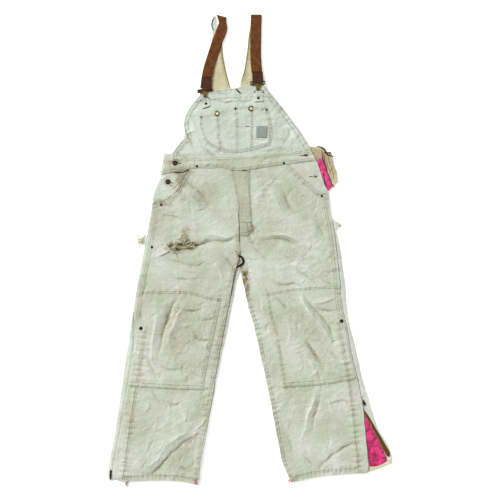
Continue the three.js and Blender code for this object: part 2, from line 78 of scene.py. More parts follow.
camera = {"height": 5.0, "shows": 1.7, "sensor": 36.0}
floor = {"side": 7.0, "colour": "#f2f2f0", "glow": 0.42}
light = {"room": 0.50, "key": 3.5, "keySoftness": 24, "keyFrom": (-1.0, 0.85, 0.92)}


def fromHex(text):
    channels = [int(text[i : i + 2], 16) / 255 for i in (1, 3, 5)]
    return [c / 12.92 if c <= 0.04045 else ((c + 0.055) / 1.055) ** 2.4 for c in channels] + [1.0]


def addNode(tree, kind, inputs=None, **settings):
    node = tree.nodes.new(kind)
    for name, value in settings.items():
        setattr(node, name, value)
    for name, value in (inputs or {}).items():
        if isinstance(value, bpy.types.NodeSocket):
            tree.links.new(value, node.inputs[name])
        else:
            node.inputs[name].default_value = value
    return node


def newFinish(name):
    finish = bpy.data.materials.new(name)
    finish.use_nodes = True
    tree = finish.node_tree
    return finish, tree, tree.nodes["Principled BSDF"]


def aimAt(thing, target):
    thing.rotation_euler = (Vector(target) - thing.location).to_track_quat("-Z", "Y").to_euler()


def makeStage():
    bpy.ops.object.camera_add(location=(0.0017, -0.0017, camera["height"] + 0.008))
    eye = bpy.context.object
    eye.data.sensor_width = camera["sensor"]
    eye.data.lens = camera["sensor"] * camera["height"] / camera["shows"]
    eye.data.clip_end = 50
    bpy.context.scene.camera = eye
    bpy.ops.mesh.primitive_plane_add(size=floor["side"], location=(0, 0, -0.0004))
    ground = bpy.context.object
    ground.name = "studioFloor"
    finish, tree, shader = newFinish("matte white paper")  # even and shadowless but for soft contact shade
    shader.inputs["Base Color"].default_value = fromHex(floor["colour"])
    shader.inputs["Roughness"].default_value = 0.9
    shader.inputs["Emission Color"].default_value = (1, 1, 1, 1)  # lit from below, as a light table is
    shader.inputs["Emission Strength"].default_value = floor["glow"]
    ground.data.materials.append(finish)
    ground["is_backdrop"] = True
    bpy.ops.object.light_add(type="SUN", location=Vector(light["keyFrom"]) * 3)
    lamp = bpy.context.object
    lamp.name = "keyLight"
    lamp.data.energy = light["key"]
    lamp.data.angle = math.radians(light["keySoftness"])
    aimAt(lamp, (0, 0, 0))
    world = bpy.data.worlds.new("studio")
    world.use_nodes = True
    world.node_tree.nodes["Background"].inputs["Color"].default_value = (1, 1, 1, 1)
    world.node_tree.nodes["Background"].inputs["Strength"].default_value = light["room"]
    bpy.context.scene.world = world
    bpy.context.scene.view_settings.view_transform = "Standard"


makeStage()
print("camera, floor and light made")

# ---- lines of the pattern, each from the top down or from the wearer's right to left

lines = {
    "frontSideRight": [(-297, 250), (-322, 196), (-335, 110), (-349, 36), (-363, -40), (-379, -117),
                       (-396, -226),
                       (-395, -300), (-399, -360), (-421, -498), (-442, -620), (-463, -718), (-468, -768)],
    "frontSideLeft": [(270, 182), (276, 128), (284, 92), (296, 0), (307, -104), (314, -190), (328, -257),
                      (348, -359), (369, -444), (384, -522), (394, -614), (406, -744)],
    "inseamRight": [(-44, -62), (-60, -137), (-65, -167), (-73, -205), (-88, -280), (-109, -389),
                    (-134, -552),
                    (-163, -716), (-175, -800)],
    "inseamLeft": [(-34, -64), (-22, -117), (-7, -190), (19, -280), (43, -389), (77, -552), (108, -716),
                   (140, -792)],
    "centreSeam": [(-56, 266), (-46, 219), (-38, 178), (-32, 140), (-32, 46), (-29, -4), (-38, -64)],
    "waistSeam": [(-300, 254), (-253, 263), (-190, 276), (-80, 277), (-56, 266), (0, 270), (117, 287),
                  (228, 302)],
    "waistTop": [(-286, 305), (-180, 308), (-73, 311), (0, 315), (110, 323), (209, 338)],
    "hemRight": [(-431, -790), (-372, -788), (-304, -785), (-236, -788), (-175, -800)],
    "hemLeft": [(140, -792), (206, -777), (274, -767), (330, -763), (372, -761)],
    "bibTop": [(-173, 522), (-128, 541), (-63, 549), (-46, 550), (-29, 556), (8, 562), (54, 556)],
    "bibSideLeft": [(54, 556), (80, 522), (114, 481), (155, 427), (176, 398), (192, 372), (209, 338)],
    "bibSideRight": [(-173, 522), (-205, 483), (-219, 454), (-225, 428), (-222, 404), (-213, 383),
                     (-230, 372),
                     (-250, 346), (-264, 328), (-262, 306)],
    "slashRight": [(-203, 273), (-229, 238), (-244, 202), (-276, 170), (-331, 151)],
    "slashLeft": [(131, 289), (188, 237), (246, 188), (270, 182)],
    "placketRight": [(-352, -268), (-364, -325), (-386, -478), (-402, -580), (-418, -700), (-431, -790)],
    "placketLeft": [(299, -245), (325, -376), (342, -478), (359, -614), (368, -720), (372, -761)],
    "flyEdge": [(2, 269), (2, 202), (5, 151), (9, 94), (12, 66), (-8, 44), (-32, 46)],
    "kneeTopRight": [(-378, -141), (-290, -139), (-202, -141), (-151, -155), (-97, -165)],
    "kneeInRight": [(-97, -165), (-117, -274), (-134, -342), (-158, -478)],
    "kneeFootRight": [(-407, -465), (-287, -474), (-158, -478)],
    "kneeTopLeft": [(53, -148), (104, -138), (172, -128), (303, -121)],
    "kneeInLeft": [(53, -148), (63, -206), (80, -274), (94, -342), (114, -471)],
    "kneeFootLeft": [(114, -471), (240, -461), (308, -450), (361, -438)],
    "pocketRim": [(-168, 454), (-110, 468), (-49, 484), (12, 488), (63, 478)],
    "pocketFoot": [(-168, 454), (-173, 433), (-168, 406), (-156, 372), (-134, 349), (-107, 338), (-73, 329),
                   (-42, 329), (2, 335), (42, 345), (68, 354), (76, 372), (77, 400), (73, 440), (63, 478)],
}

# soft folds and wrinkles of the front: where each runs, its half width, and how far it stands up or sinks
frontCreases = [
    ([(-216, 240), (-196, 216), (-168, 192), (-148, 165), (-138, 138)], 17, -2.6),  # right hip fold
    ([(-233, 216), (-202, 182), (-178, 151), (-168, 121)], 14, 1.6),  # right hip ridge
    ([(-314, 110), (-277, 114), (-246, 107), (-216, 97)], 9, -1.1),  # right hip small
    ([(-192, 8), (-158, 22), (-121, 29), (-80, 29), (-46, 36)], 10, -2.2),  # rip fold
    ([(-151, 46), (-114, 49), (-73, 42), (-42, 49)], 12, 1.3),  # above rip fold
    ([(-318, -26), (-284, -12), (-243, -8), (-202, -5)], 10, 1.4),  # below rip 1
    ([(-287, -36), (-243, -42), (-196, -56), (-141, -53)], 9, -1.2),  # below rip 2
    ([(-277, -90), (-243, -100), (-202, -104), (-168, -97)], 9, -1.3),  # thigh right 1
    ([(-216, -97), (-199, -114), (-182, -131)], 8, 1.2),  # thigh right 2
    ([(-226, -60), (-202, -73), (-168, -76)], 8, 1.0),  # thigh right 3
    ([(-94, -19), (-70, -39), (-56, -63), (-49, -90)], 9, -1.4),  # inseam right 1
    ([(-121, -42), (-100, -76), (-90, -114)], 10, 1.1),  # inseam right 2
    ([(100, 223), (117, 196), (128, 158), (148, 131), (172, 114)], 13, -2.2),  # left hip trough
    ([(70, 202), (90, 165), (107, 128)], 14, 1.2),  # left hip ridge
    ([(29, 39), (63, 46), (110, 49), (148, 39), (185, 15), (212, 2)], 10, 1.8),  # left arc
    ([(42, 29), (83, 36), (117, 32), (151, 19), (185, -8)], 9, -1.7),  # left arc under
    ([(19, 5), (42, -19), (66, -42)], 9, -1.1),  # left thigh 1
    ([(42, -32), (70, -60), (100, -83), (124, -114)], 9, 1.3),  # left thigh 2
    ([(158, -70), (192, -90), (233, -121)], 8, -1.5),  # left thigh 3
    ([(121, -42), (158, -56), (206, -56)], 10, 1.0),  # left thigh 4
    ([(-2, 60), (8, 32), (22, 8)], 8, -1.2),  # below fly
    ([(226, 94), (246, 66), (260, 26)], 10, -1.0),  # side left 1
    ([(-243, -165), (-267, -212), (-287, -267), (-304, -325), (-311, -362)], 10, -3.2),  # knee right trough
    ([(-318, -172), (-318, -246), (-332, -325), (-335, -386), (-321, -444)], 9, 1.2),  # knee right ridge
    ([(-216, -172), (-243, -226), (-267, -274), (-280, -325)], 11, 1.9),  # knee right ridge 2
    ([(-243, -199), (-209, -209), (-182, -209), (-165, -202)], 7, -1.9),  # knee right 1
    ([(-162, -243), (-138, -240), (-117, -226)], 7, -1.3),  # knee right 2
    ([(-185, -277), (-178, -301), (-158, -311), (-131, -308)], 7, -1.9),  # knee right 3
    ([(-311, -393), (-280, -406), (-243, -410), (-223, -400)], 8, -1.4),  # knee right 4
    ([(-348, -359), (-328, -410), (-314, -447)], 7, -1.6),  # knee right 5
    ([(-226, -257), (-202, -264)], 7, 1.0),  # knee right 6
    ([(-328, -478), (-311, -512), (-294, -532)], 7, -1.4),  # shin right 1
    ([(-284, -518), (-257, -529), (-223, -515)], 8, -1.2),  # shin right 2
    ([(-243, -498), (-226, -552), (-209, -614)], 9, 0.6),  # shin right 3
    # shin fold trough
    ([(-379, -756), (-342, -767), (-304, -743), (-277, -706), (-246, -675), (-212, -651), (-168, -627)], 10,
     -2.0),
    # shin fold ridge
    ([(-386, -722), (-345, -736), (-314, -712), (-287, -675), (-257, -644), (-216, -617), (-178, -593)], 13,
     1.3),
    ([(-240, -736), (-216, -750), (-199, -760)], 7, -1.2),  # shin right 4
    ([(-182, -614), (-158, -593), (-144, -566)], 7, 1.2),  # shin right 5
    ([(-372, -620), (-338, -607), (-298, -614)], 12, 0.9),  # shin right 6
    # knee left ridge
    ([(172, -144), (185, -182), (206, -216), (233, -246), (260, -284), (277, -311)], 12, 3.0),
    # knee left under
    ([(192, -162), (209, -192), (236, -219), (264, -253), (284, -294), (287, -325)], 8, -2.8),
    ([(192, -308), (212, -338), (236, -376), (257, -413)], 9, -2.8),  # knee left trough
    ([(168, -325), (196, -362), (219, -403), (230, -437)], 11, 1.6),  # knee left ridge 2
    ([(90, -162), (110, -182), (134, -209)], 7, -1.6),  # knee left 1
    ([(226, -199), (264, -209), (301, -206)], 7, -2.0),  # knee left 2
    ([(216, -182), (253, -178), (298, -162)], 8, 1.4),  # knee left 3
    ([(277, -348), (294, -366), (311, -379)], 6, -1.8),  # knee left 4
    ([(128, -240), (138, -280), (131, -325)], 9, 0.9),  # knee left 5
    ([(76, -308), (104, -342), (114, -389)], 9, -0.8),  # knee left 6
    ([(80, -107), (114, -121), (148, -117), (182, -128)], 6, -1.5),  # over patch left 1
    ([(243, -100), (267, -114), (291, -124)], 6, -1.7),  # over patch left 2
    ([(226, -471), (216, -512), (202, -559), (192, -607), (172, -651)], 12, 1.8),  # shin left ridge
    ([(246, -484), (236, -518), (223, -563), (212, -614)], 9, -1.6),  # shin left side
    ([(270, -529), (298, -518), (325, -515), (342, -532)], 7, -1.9),  # shin left 1
    ([(236, -743), (264, -716), (298, -688), (335, -668), (362, -658)], 8, -2.2),  # shin left 2
    ([(182, -699), (202, -719), (223, -740)], 8, -1.4),  # shin left 3
    ([(117, -614), (141, -668), (151, -709)], 13, -1.0),  # shin left 4
    ([(274, -597), (301, -614), (325, -648)], 12, 1.0),  # shin left 5
    ([(-223, 410), (-202, 372), (-185, 338)], 8, -2.2),  # bib fold 1
    ([(-206, 420), (-182, 382), (-165, 348)], 9, 1.4),  # bib fold 1 ridge
    ([(-172, 355), (-141, 335), (-110, 308), (-73, 284)], 8, -1.6),  # bib fold 2
    ([(-209, 478), (-199, 440), (-182, 399), (-155, 365)], 8, 1.0),  # bib fold 3
    ([(107, 352), (128, 382), (141, 420)], 9, -1.2),  # bib fold 4
    ([(172, 355), (151, 393), (128, 437)], 10, 0.9),  # bib fold 5
    ([(-121, 542), (-94, 529), (-56, 529)], 7, -1.2),  # bib top 1
    ([(-117, 512), (-80, 498), (-46, 508)], 6, -1.1),  # bib top 2
    ([(-46, 515), (-12, 498), (15, 512)], 6, -1.0),  # bib top 3
    ([(32, 542), (63, 508), (83, 481)], 8, 1.0),  # bib top 4
    ([(-216, 498), (-223, 457), (-212, 420)], 8, 1.3),  # bib side 1
    ([(-250, 338), (-233, 318), (-202, 311)], 7, -1.0),  # waist 1
    ([(42, 332), (87, 338), (138, 345)], 8, -0.8),  # waist 2
]

# ---- relief: smooth bumps, folds and seam puckers, all worked out on arrays of x and y


def bumps(x, y, size, seed):  # rounded bumps about one size across, from -1 to 1
    lattice = np.random.default_rng(seed).uniform(-1, 1, (128, 128))
    u, v = x / size + 400.37, y / size + 400.71
    i, j = np.floor(u).astype(int), np.floor(v).astype(int)
    s, t = u - i, v - j
    s, t = s * s * s * (s * (s * 6 - 15) + 10), t * t * t * (t * (t * 6 - 15) + 10)
    i, j = i % 127, j % 127
    low = lattice[i, j] * (1 - s) + lattice[i + 1, j] * s
    high = lattice[i, j + 1] * (1 - s) + lattice[i + 1, j + 1] * s
    return low * (1 - t) + high * t


def alongLine(x, y, points):  # distance from the line, millimetres along it, and the side
    nearest, at, side = np.full(x.shape, 1e9), np.zeros(x.shape), np.ones(x.shape)
    run = 0.0
    for (x0, y0), (x1, y1) in zip(points, points[1:]):
        dx, dy = x1 - x0, y1 - y0
        length = max(math.hypot(dx, dy), 1e-6)
        share = np.clip(((x - x0) * dx + (y - y0) * dy) / length**2, 0, 1)
        ex, ey = x - x0 - share * dx, y - y0 - share * dy
        apart = np.hypot(ex, ey)
        closer = apart < nearest
        nearest = np.where(closer, apart, nearest)
        at = np.where(closer, run + share * length, at)
        side = np.where(closer, np.sign(dx * ey - dy * ex), side)
        run += length
    return nearest, at, side, run


def smoothLine(points, step=6.0):  # a rounded line through the points, one point every step or so
    points = [Vector(p) for p in points]
    made = []
    for k in range(len(points) - 1):
        before, start = points[max(k - 1, 0)], points[k]
        end, after = points[k + 1], points[min(k + 2, len(points) - 1)]
        count = max(1, round((end - start).length / step))
        for n in range(count):
            t = n / count
            made.append(
                0.5 * (2 * start + (end - before) * t + (2 * before - 5 * start + 4 * end - after) * t * t
                       + (3 * start - before - 3 * end + after) * t**3)
            )
    return [tuple(p) for p in made] + [tuple(points[-1])]


def offsetLine(points, amount):  # the line moved to its left by an amount
    moved = []
    for k, (x, y) in enumerate(points):
        x0, y0 = points[max(k - 1, 0)]
        x1, y1 = points[min(k + 1, len(points) - 1)]
        length = max(math.hypot(x1 - x0, y1 - y0), 1e-6)
        moved.append((x - (y1 - y0) / length * amount, y + (x1 - x0) / length * amount))
    return moved


def near(x, y, points, reach):  # which places are within reach of the line's box
    xs, ys = [p[0] for p in points], [p[1] for p in points]
    return (x > min(xs) - reach) & (x < max(xs) + reach) & (y > min(ys) - reach) & (y < max(ys) + reach)


outerEdges = [lines[k] for k in (
    "frontSideRight", "frontSideLeft", "inseamRight", "inseamLeft", "hemRight", "hemLeft",
    "bibTop", "bibSideLeft", "bibSideRight",
)]
crown = {"height": 2.1, "reach": 70.0}


def crownRise(x, y):
    reach = np.full(x.shape, 1e9)
    for edge in outerEdges:
        reach = np.minimum(reach, alongLine(x, y, edge)[0])
    share = np.clip(reach / crown["reach"], 0, 1)
    return crown["height"] * share * share * (3 - 2 * share)


foldGain = 2.3


def creaseRise(x, y, creases, thread=None):  # with a thread width, only the thin line of each fold
    rise = np.zeros(x.shape)
    for points, reach, height in creases:
        close = near(x, y, points, reach * 3)
        if not close.any():
            continue
        # the fold wanders a little, and dies away at both ends
        wander = bumps(x[close], y[close], 34, 71) * reach * 0.28 + bumps(x[close], y[close], 14, 72) * 1.3
        apart, at, side, length = alongLine(x[close] + wander, y[close] - wander, smoothLine(points, 12))
        share = np.clip(at / length, 0, 1)
        fade = np.minimum(1, 2.6 * np.minimum(share, 1 - share) + 0.15)
        fade = fade * (0.85 + 0.35 * bumps(x[close], y[close], 27, 73))
        if thread:
            rise[close] += height * fade * np.exp(-((apart / thread) ** 2))
            continue
        # one side of a fold is steeper than the other
        lean = np.where(side * height > 0, 1.35, 0.65) * reach
        bend = 0.6 * np.exp(-((apart / lean) ** 2)) + 0.75 * np.exp(-apart / np.maximum(0.26 * lean, 2.0))
        rise[close] += foldGain * height * fade * bend
    return rise


# ---- seams: rows of stitches, and how the cloth puckers along them

# line, rows of stitching to its left in mm, pucker height, pucker length,
# half width of the pucker, welt height
seams = [
    ("inseamRight", (-6, -13), 1.0, 17, 13, 0.4),
    ("inseamLeft", (6, 13), 1.0, 17, 13, 0.4),
    ("sideRightUpper", (13, 21), 0.5, 26, 11, 0.5),
    ("sideLeftUpper", (-11, -19), 0.5, 24, 11, 0.5),
    ("placketRight", (-3, 4), 1.7, 20, 17, 0.6),
    ("placketLeft", (-3, 4), 1.4, 21, 16, 0.6),
    ("hemRight", (15,), 0.8, 15, 11, 0.3),
    ("hemLeft", (14,), 0.8, 15, 11, 0.3),
    ("waistSeam", (4, 10), 0.6, 24, 9, 0.3),
    ("waistTop", (-5,), 0.5, 26, 8, 0.2),
    ("bibSideLeft", (-5, -17), 0.7, 20, 10, 0.5),
    ("bibSideRight", (5, 16), 0.7, 20, 10, 0.5),
    ("bibTop", (-5,), 0.8, 24, 10, 0.2),
    ("bibBand", (0,), 0.6, 24, 9, 0.0),
    ("slashRight", (5, 12), 0.5, 22, 8, 0.3),
    ("slashLeft", (-5, -12), 0.5, 22, 8, 0.3),
    ("centreSeam", (-4,), 0.6, 20, 8, 0.3),
    ("flyEdge", (-4,), 0.4, 18, 7, 0.2),
    ("kneeTopRight", (-4, -10), 0.6, 20, 9, 0.2),
    ("kneeInRight", (-5, -11), 0.6, 19, 9, 0.2),
    ("kneeFootRight", (3, 15), 0.5, 20, 9, 0.9),
    ("kneeTopLeft", (-4, -10), 0.6, 20, 9, 0.2),
    ("kneeInLeft", (5, 11), 0.6, 19, 9, 0.2),
    ("kneeFootLeft", (4, 16), 0.5, 20, 9, 0.9),
    ("pocketRim", (-4, -10), 0.3, 18, 7, 0.1),
    ("pocketFoot", (5, 10), 0.4, 17, 8, 0.2),
    ("pocketRight", (-3, 3), 0.5, 19, 8, 0.0),
    ("pocketMiddle", (-3, 3), 0.5, 19, 8, 0.0),
    ("pocketLeft", (-2, 2), 0.5, 19, 8, 0.0),
    ("armRight", (-3, -9), 0.5, 22, 8, 0.5),
    ("armLeft", (-3, -9), 0.5, 22, 8, 0.5),
]
lines["sideRightUpper"] = lines["frontSideRight"][2:7]
lines["sideLeftUpper"] = lines["frontSideLeft"][:7]
lines["bibBand"] = [(-196, 497), (-150, 506), (-90, 513), (-30, 516), (30, 521), (78, 516)]
lines["pocketRight"] = [(-107, 466), (-106, 420), (-102, 380), (-96, 338)]
lines["pocketMiddle"] = [(-44, 482), (-42, 420), (-42, 330)]
lines["hipOpening"] = [(192, 372), (209, 338), (229, 302), (243, 262), (257, 219), (267, 199)]
lines["armRight"] = [(-95, 736), (-93, 700), (-90, 661), (-84, 627), (-76, 593), (-64, 551)]
lines["armLeft"] = [(-30, 576), (-19, 610), (-14, 640), (-8, 678), (-4, 719), (3, 770)]
lines["pocketLeft"] = [(8, 486), (9, 430), (8, 380), (6, 337)]
rounded = {name: smoothLine(points) for name, points in lines.items()}


pucker = {"gain": 1.6, "wander": 1.6, "splay": 0.035, "furrow": 0.45, "threadWidth": 1.9, "reach": 40}


def puckerRise(x, y):  # gathered ripples, the welt, and a furrow under each row of stitches
    rise = np.zeros(x.shape)
    for name, rows, height, length, width, welt in seams:
        points = rounded[name]
        close = near(x, y, points, width * 3 + 20)
        if not close.any():
            continue
        px, py = x[close], y[close]
        middle = sum(rows) / len(rows)
        apart, at, side, run = alongLine(px, py, offsetLine(points, middle))
        seed = len(name) * 31 + int(length)
        turns = math.pi * at / length + pucker["wander"] * bumps(at, at * 0, length * 2.3, seed)
        # the puckers splay as they run out
        turns = turns + pucker["splay"] * apart * bumps(at, at * 0, length * 1.4, seed + 2)
        wave = 2.0 * np.abs(np.sin(turns)) ** 0.75 - 1.0
        strength = 0.55 + 0.45 * bumps(at, apart * 0.2, length * 3.1, seed + 5)
        slant = 0.5 * bumps(px, py, length * 0.8, seed + 9)
        ripple = (wave + slant) * strength * np.exp(-((apart / width) ** 2))
        band = max(abs(r - middle) for r in rows) + 2.0
        raised = welt * np.exp(-((apart / (band + 1)) ** 6))
        across = side * apart + middle
        furrow = sum(-pucker["furrow"] * np.exp(-(((across - r) / pucker["threadWidth"]) ** 2)) for r in rows)
        rise[close] += pucker["gain"] * height * ripple + raised + furrow * (apart < pucker["reach"])
    return rise


# distance to the nearest of scattered points: slopes that meet in sharp creases
def facets(x, y, size, seed):
    jitter = np.random.default_rng(seed).uniform(0.1, 0.9, (2, 128, 128))
    u, v = x / size + 400.37, y / size + 400.71
    i, j = np.floor(u).astype(int), np.floor(v).astype(int)
    nearest = np.full(x.shape, 9.0)
    for across in (-1, 0, 1):
        for up in (-1, 0, 1):
            column, row = (i + across) % 128, (j + up) % 128
            apart = np.hypot(i + across + jitter[0, column, row] - u, j + up + jitter[1, column, row] - v)
            nearest = np.minimum(nearest, apart)
    return nearest


wrinkle = {
    "size": 36, "height": 2.5, "fineSize": 19, "fineHeight": 1.5, "napSize": 7.5, "napHeight": 0.22,
    "patch": 80,
}


def crumple(x, y):  # the small all-over wrinkling of washed duck
    warp, sway = 10 * bumps(x, y, 44, 3), 8 * bumps(x, y, 38, 4)
    creased = wrinkle["height"] * (facets(x * 0.8 + warp, y * 1.1 + sway, wrinkle["size"], 12) - 0.4)
    turnedX, turnedY = x * 0.75 + y * 0.4 + sway, y * 0.9 - x * 0.3 - warp
    fine = wrinkle["fineHeight"] * (facets(turnedX, turnedY, wrinkle["fineSize"], 15) - 0.4)
    finest = wrinkle["napHeight"] * bumps(x, y, wrinkle["napSize"], 13)
    patchy = 0.72 + 0.6 * bumps(x, y, wrinkle["patch"], 14)
    return patchy * (creased + fine + finest)


def scattered(count, seed):  # short creases of the washed cloth, lying the way each part of a leg folds
    rng = random.Random(seed)
    made = []
    for _ in range(count):
        x, y = rng.uniform(-440, 400), rng.uniform(-790, 520)
        if y > -130:
            heading = math.radians(rng.gauss(-8 if x < 0 else 10, 30))
        else:
            heading = math.radians(rng.gauss(58, 38) * (1 if x < 0 else -1))
        bend, length = rng.uniform(-0.6, 0.6), rng.uniform(18, 62)
        points = [(x, y)]
        for _ in range(3):
            x, y = x + math.cos(heading) * length / 3, y + math.sin(heading) * length / 3
            heading += bend
            points.append((x, y))
        made.append((points, rng.uniform(3.2, 6.5), rng.choice((-1, -1, 1)) * rng.uniform(0.35, 1.05)))
    return made


smallCreases = scattered(330, 47)


def frontRise(x, y):
    x, y = np.asarray(x, float), np.asarray(y, float)
    folds = creaseRise(x, y, frontCreases) + creaseRise(x, y, smallCreases)
    return crownRise(x, y) + folds + puckerRise(x, y) + crumple(x, y)


def backRise(x, y):  # the back lies under the front, so it only sinks
    x, y = np.asarray(x, float), np.asarray(y, float)
    return -0.5 + 0.45 * crumple(x, y)

# ---- wear and painted light: where the cloth is soiled, rust stained and rubbed pale, with painted shade in its hollows and painted highlight on its fold ridges

# x, y, half length, half width, turn in degrees, strength
rustStains = [
    (-233, 8, 46, 17, 6, 1.0), (-262, 10, 20, 12, -20, 0.7), (-205, 14, 26, 10, 8, 0.7),
    (-218, 40, 24, 16, 75, 0.45), (-232, 246, 20, 34, -30, 0.5), (-209, 262, 22, 10, 5, 0.4),
    (-285, 168, 30, 7, 20, 0.35),
    (-290, 158, 34, 8, -25, 0.45), (-253, 290, 16, 13, 0, 0.45), (-275, 228, 18, 15, 0, 0.4),
    (-32, -52, 13, 22, 0, 0.5), (-16, -98, 9, 34, -12, 0.8), (-9, -140, 8, 34, -12, 0.45),
    (-34, -20, 8, 20, 0, 0.35),
    (-50, -90, 5, 40, 10, 0.35), (-38, 30, 8, 34, 0, 0.35), (4, 62, 20, 22, 0, 0.3),
]
# soiled patches, partly dirt and partly painted shade along the dark bands of the knee folds and over the
# open hip flap
soilAndShadePatches = [
    (-218, 60, 26, 14, 75, 0.5), (-70, -200, 9, 150, -12, 0.25), (-92, -300, 8, 90, -14, 0.25),
    (-8, -150, 10, 60, -12, 0.4),
    (-150, 175, 34, 62, -35, 0.20), (-110, 120, 40, 34, 0, 0.16), (150, 190, 26, 60, 30, 0.16),
    (150, -20, 90, 24, -8, 0.26),
    (-200, -230, 60, 90, 20, 0.26), (-260, -300, 30, 110, 10, 0.30), (-200, -390, 90, 30, 0, 0.22),
    (180, -270, 40, 120, 20, 0.26), (240, -330, 40, 100, 20, 0.22), (90, -620, 60, 130, 12, 0.26),
    (60, -740, 60, 40, 0, 0.2), (-330, -560, 60, 70, 0, 0.1), (-300, 60, 50, 70, 0, 0.2),
    (60, 60, 40, 130, 0, 0.2),
    (-180, 320, 110, 18, 5, 0.22), (110, 330, 90, 16, 5, 0.22), (-250, 350, 24, 40, -30, 0.3),
    (258, 338, 24, 7, -15, 0.6), (285, 318, 12, 6, 0, 0.7), (296, 270, 6, 34, -10, 0.4),
    (-235, -690, 80, 26, 42, 0.3), (-262, 300, 40, 16, 0, 0.3), (-200, 170, 60, 20, -20, 0.25),
    (-250, 268, 34, 22, 0, 0.42), (-232, 215, 26, 16, 50, 0.4),
]


def patchStrength(x, y, patches, ragged):
    total = np.zeros(x.shape)
    wobble = bumps(x, y, 14, 51) + 0.6 * bumps(x, y, 6, 52)
    for px, py, half, width, turn, strength in patches:
        c, s = math.cos(math.radians(turn)), math.sin(math.radians(turn))
        along, across = (x - px) * c + (y - py) * s, -(x - px) * s + (y - py) * c
        apart = np.hypot(along / half, across / width) + ragged * wobble
        total = np.maximum(total, strength * np.clip(1.35 - apart, 0, 1) ** 1.2)
    return total


frontSeams = ("knee", "pocket", "slash", "fly", "bibBand", "placket")  # the back has none of these
# grime along the stitch rows and in a band beside them; the streaks are painted shade in the hollows between
# the puckers
grimeAndShade = {"row": 0.44, "rowWidth": 1.8, "band": 0.14, "bandWidth": 10, "streaks": 0.26, "back": 0.8}
# pale rubbed edges, painted shade in fold valleys and along thin crease lines, and painted highlight on fold
# ridges
rubbed = {
    "edge": 0.5, "edgeWidth": 3.6, "foldShade": 0.07, "foldHighlight": 0.04, "threadShade": 0.13, "threadHighlight": 0.07,
}


def seamDirtAndShade(x, y, front):
    dirtAndShade = np.zeros(x.shape)
    for name, rows, height, length, width, welt in seams:
        if name.startswith(frontSeams) and not front:
            continue
        points = rounded[name]
        close = near(x, y, points, 40)
        if not close.any():
            continue
        apart, at, side, run = alongLine(x[close], y[close], points)
        across = apart * side
        patchy = 0.62 + 0.38 * bumps(x[close], y[close], 19, 61)
        row = sum(np.exp(-(((across - r) / grimeAndShade["rowWidth"]) ** 2)) for r in rows)
        middle = sum(rows) / len(rows)
        band = np.exp(-(((across - middle) / grimeAndShade["bandWidth"]) ** 2))
        # painted shade in the hollows between the puckers
        wander = pucker["wander"] * bumps(at, at * 0, length * 2.3, len(name) * 31 + int(length))
        hollow = np.abs(np.sin(math.pi * at / length + wander))
        beside = np.exp(-(((across - middle) / (width * 1.1)) ** 2))
        streaks = np.clip(1 - 4.0 * hollow, 0, 1) * beside * min(height, 1.2)
        total = grimeAndShade["row"] * np.clip(row, 0, 1) + grimeAndShade["band"] * band + grimeAndShade["streaks"] * streaks
        dirtAndShade[close] = np.maximum(dirtAndShade[close], patchy * total)
    return dirtAndShade


def wearAndShadeAt(x, y, edge, front):  # dirt and painted shade in folds and seams, rust at the tears, painted highlight on fold ridges, pale rubbed edges
    soil = patchStrength(x, y, soilAndShadePatches, 0.25) * (1.0 if front else 0.5)
    rust = patchStrength(x, y, rustStains, 0.42) if front else np.zeros(x.shape)
    if front:
        folds = creaseRise(x, y, frontCreases)
        thin = creaseRise(x, y, frontCreases, 3.2) + 0.8 * creaseRise(x, y, smallCreases, 2.6)
        # painted shade in the fold valleys and along thin crease lines, painted highlight on their ridges
        soil = soil + seamDirtAndShade(x, y, front) + np.clip(-folds, 0, 5) * rubbed["foldShade"]
        soil = soil + np.clip(-thin, 0, 3) * rubbed["threadShade"]
        pale = np.clip(folds, 0, 4) * rubbed["foldHighlight"] + np.clip(thin, 0, 3) * rubbed["threadHighlight"]
        # the hip opening's edge gets the same pale rim: a painted highlight along its lit edge, where the
        # outer edges are rubbed pale
        edge = np.min([alongLine(x, y, line)[0] for line in outerEdges + [lines["hipOpening"]]], axis=0)
    else:
        soil = soil + grimeAndShade["back"] * seamDirtAndShade(x, y, front)
        pale = 0.25 + 0.2 * bumps(x, y, 60, 63)
    rim = np.exp(-((edge / rubbed["edgeWidth"]) ** 2)) * (0.7 + 0.3 * bumps(x, y, 15, 62))
    pale = pale + rubbed["edge"] * rim
    return {"soil": np.clip(soil, 0, 1), "rust": np.clip(rust, 0, 1), "pale": np.clip(pale, 0, 1)}


# ---- finishes

duckPattern = {  # sizes in mm
    "threadShown": 4.6,  # as coarse as the weave needs to show at this distance, where real yarns lie at 0.7
    "mottle": 130, "cloud": 30, "tint": 75, "breaks": 9, "creasing": 15, "grit": 3.6, "fleck": 4.0,
}


waveShare = 0.314  # a wave texture's scale for one band a metre


def perMetre(size):  # a pattern's scale from its size in mm
    return 1000.0 / size


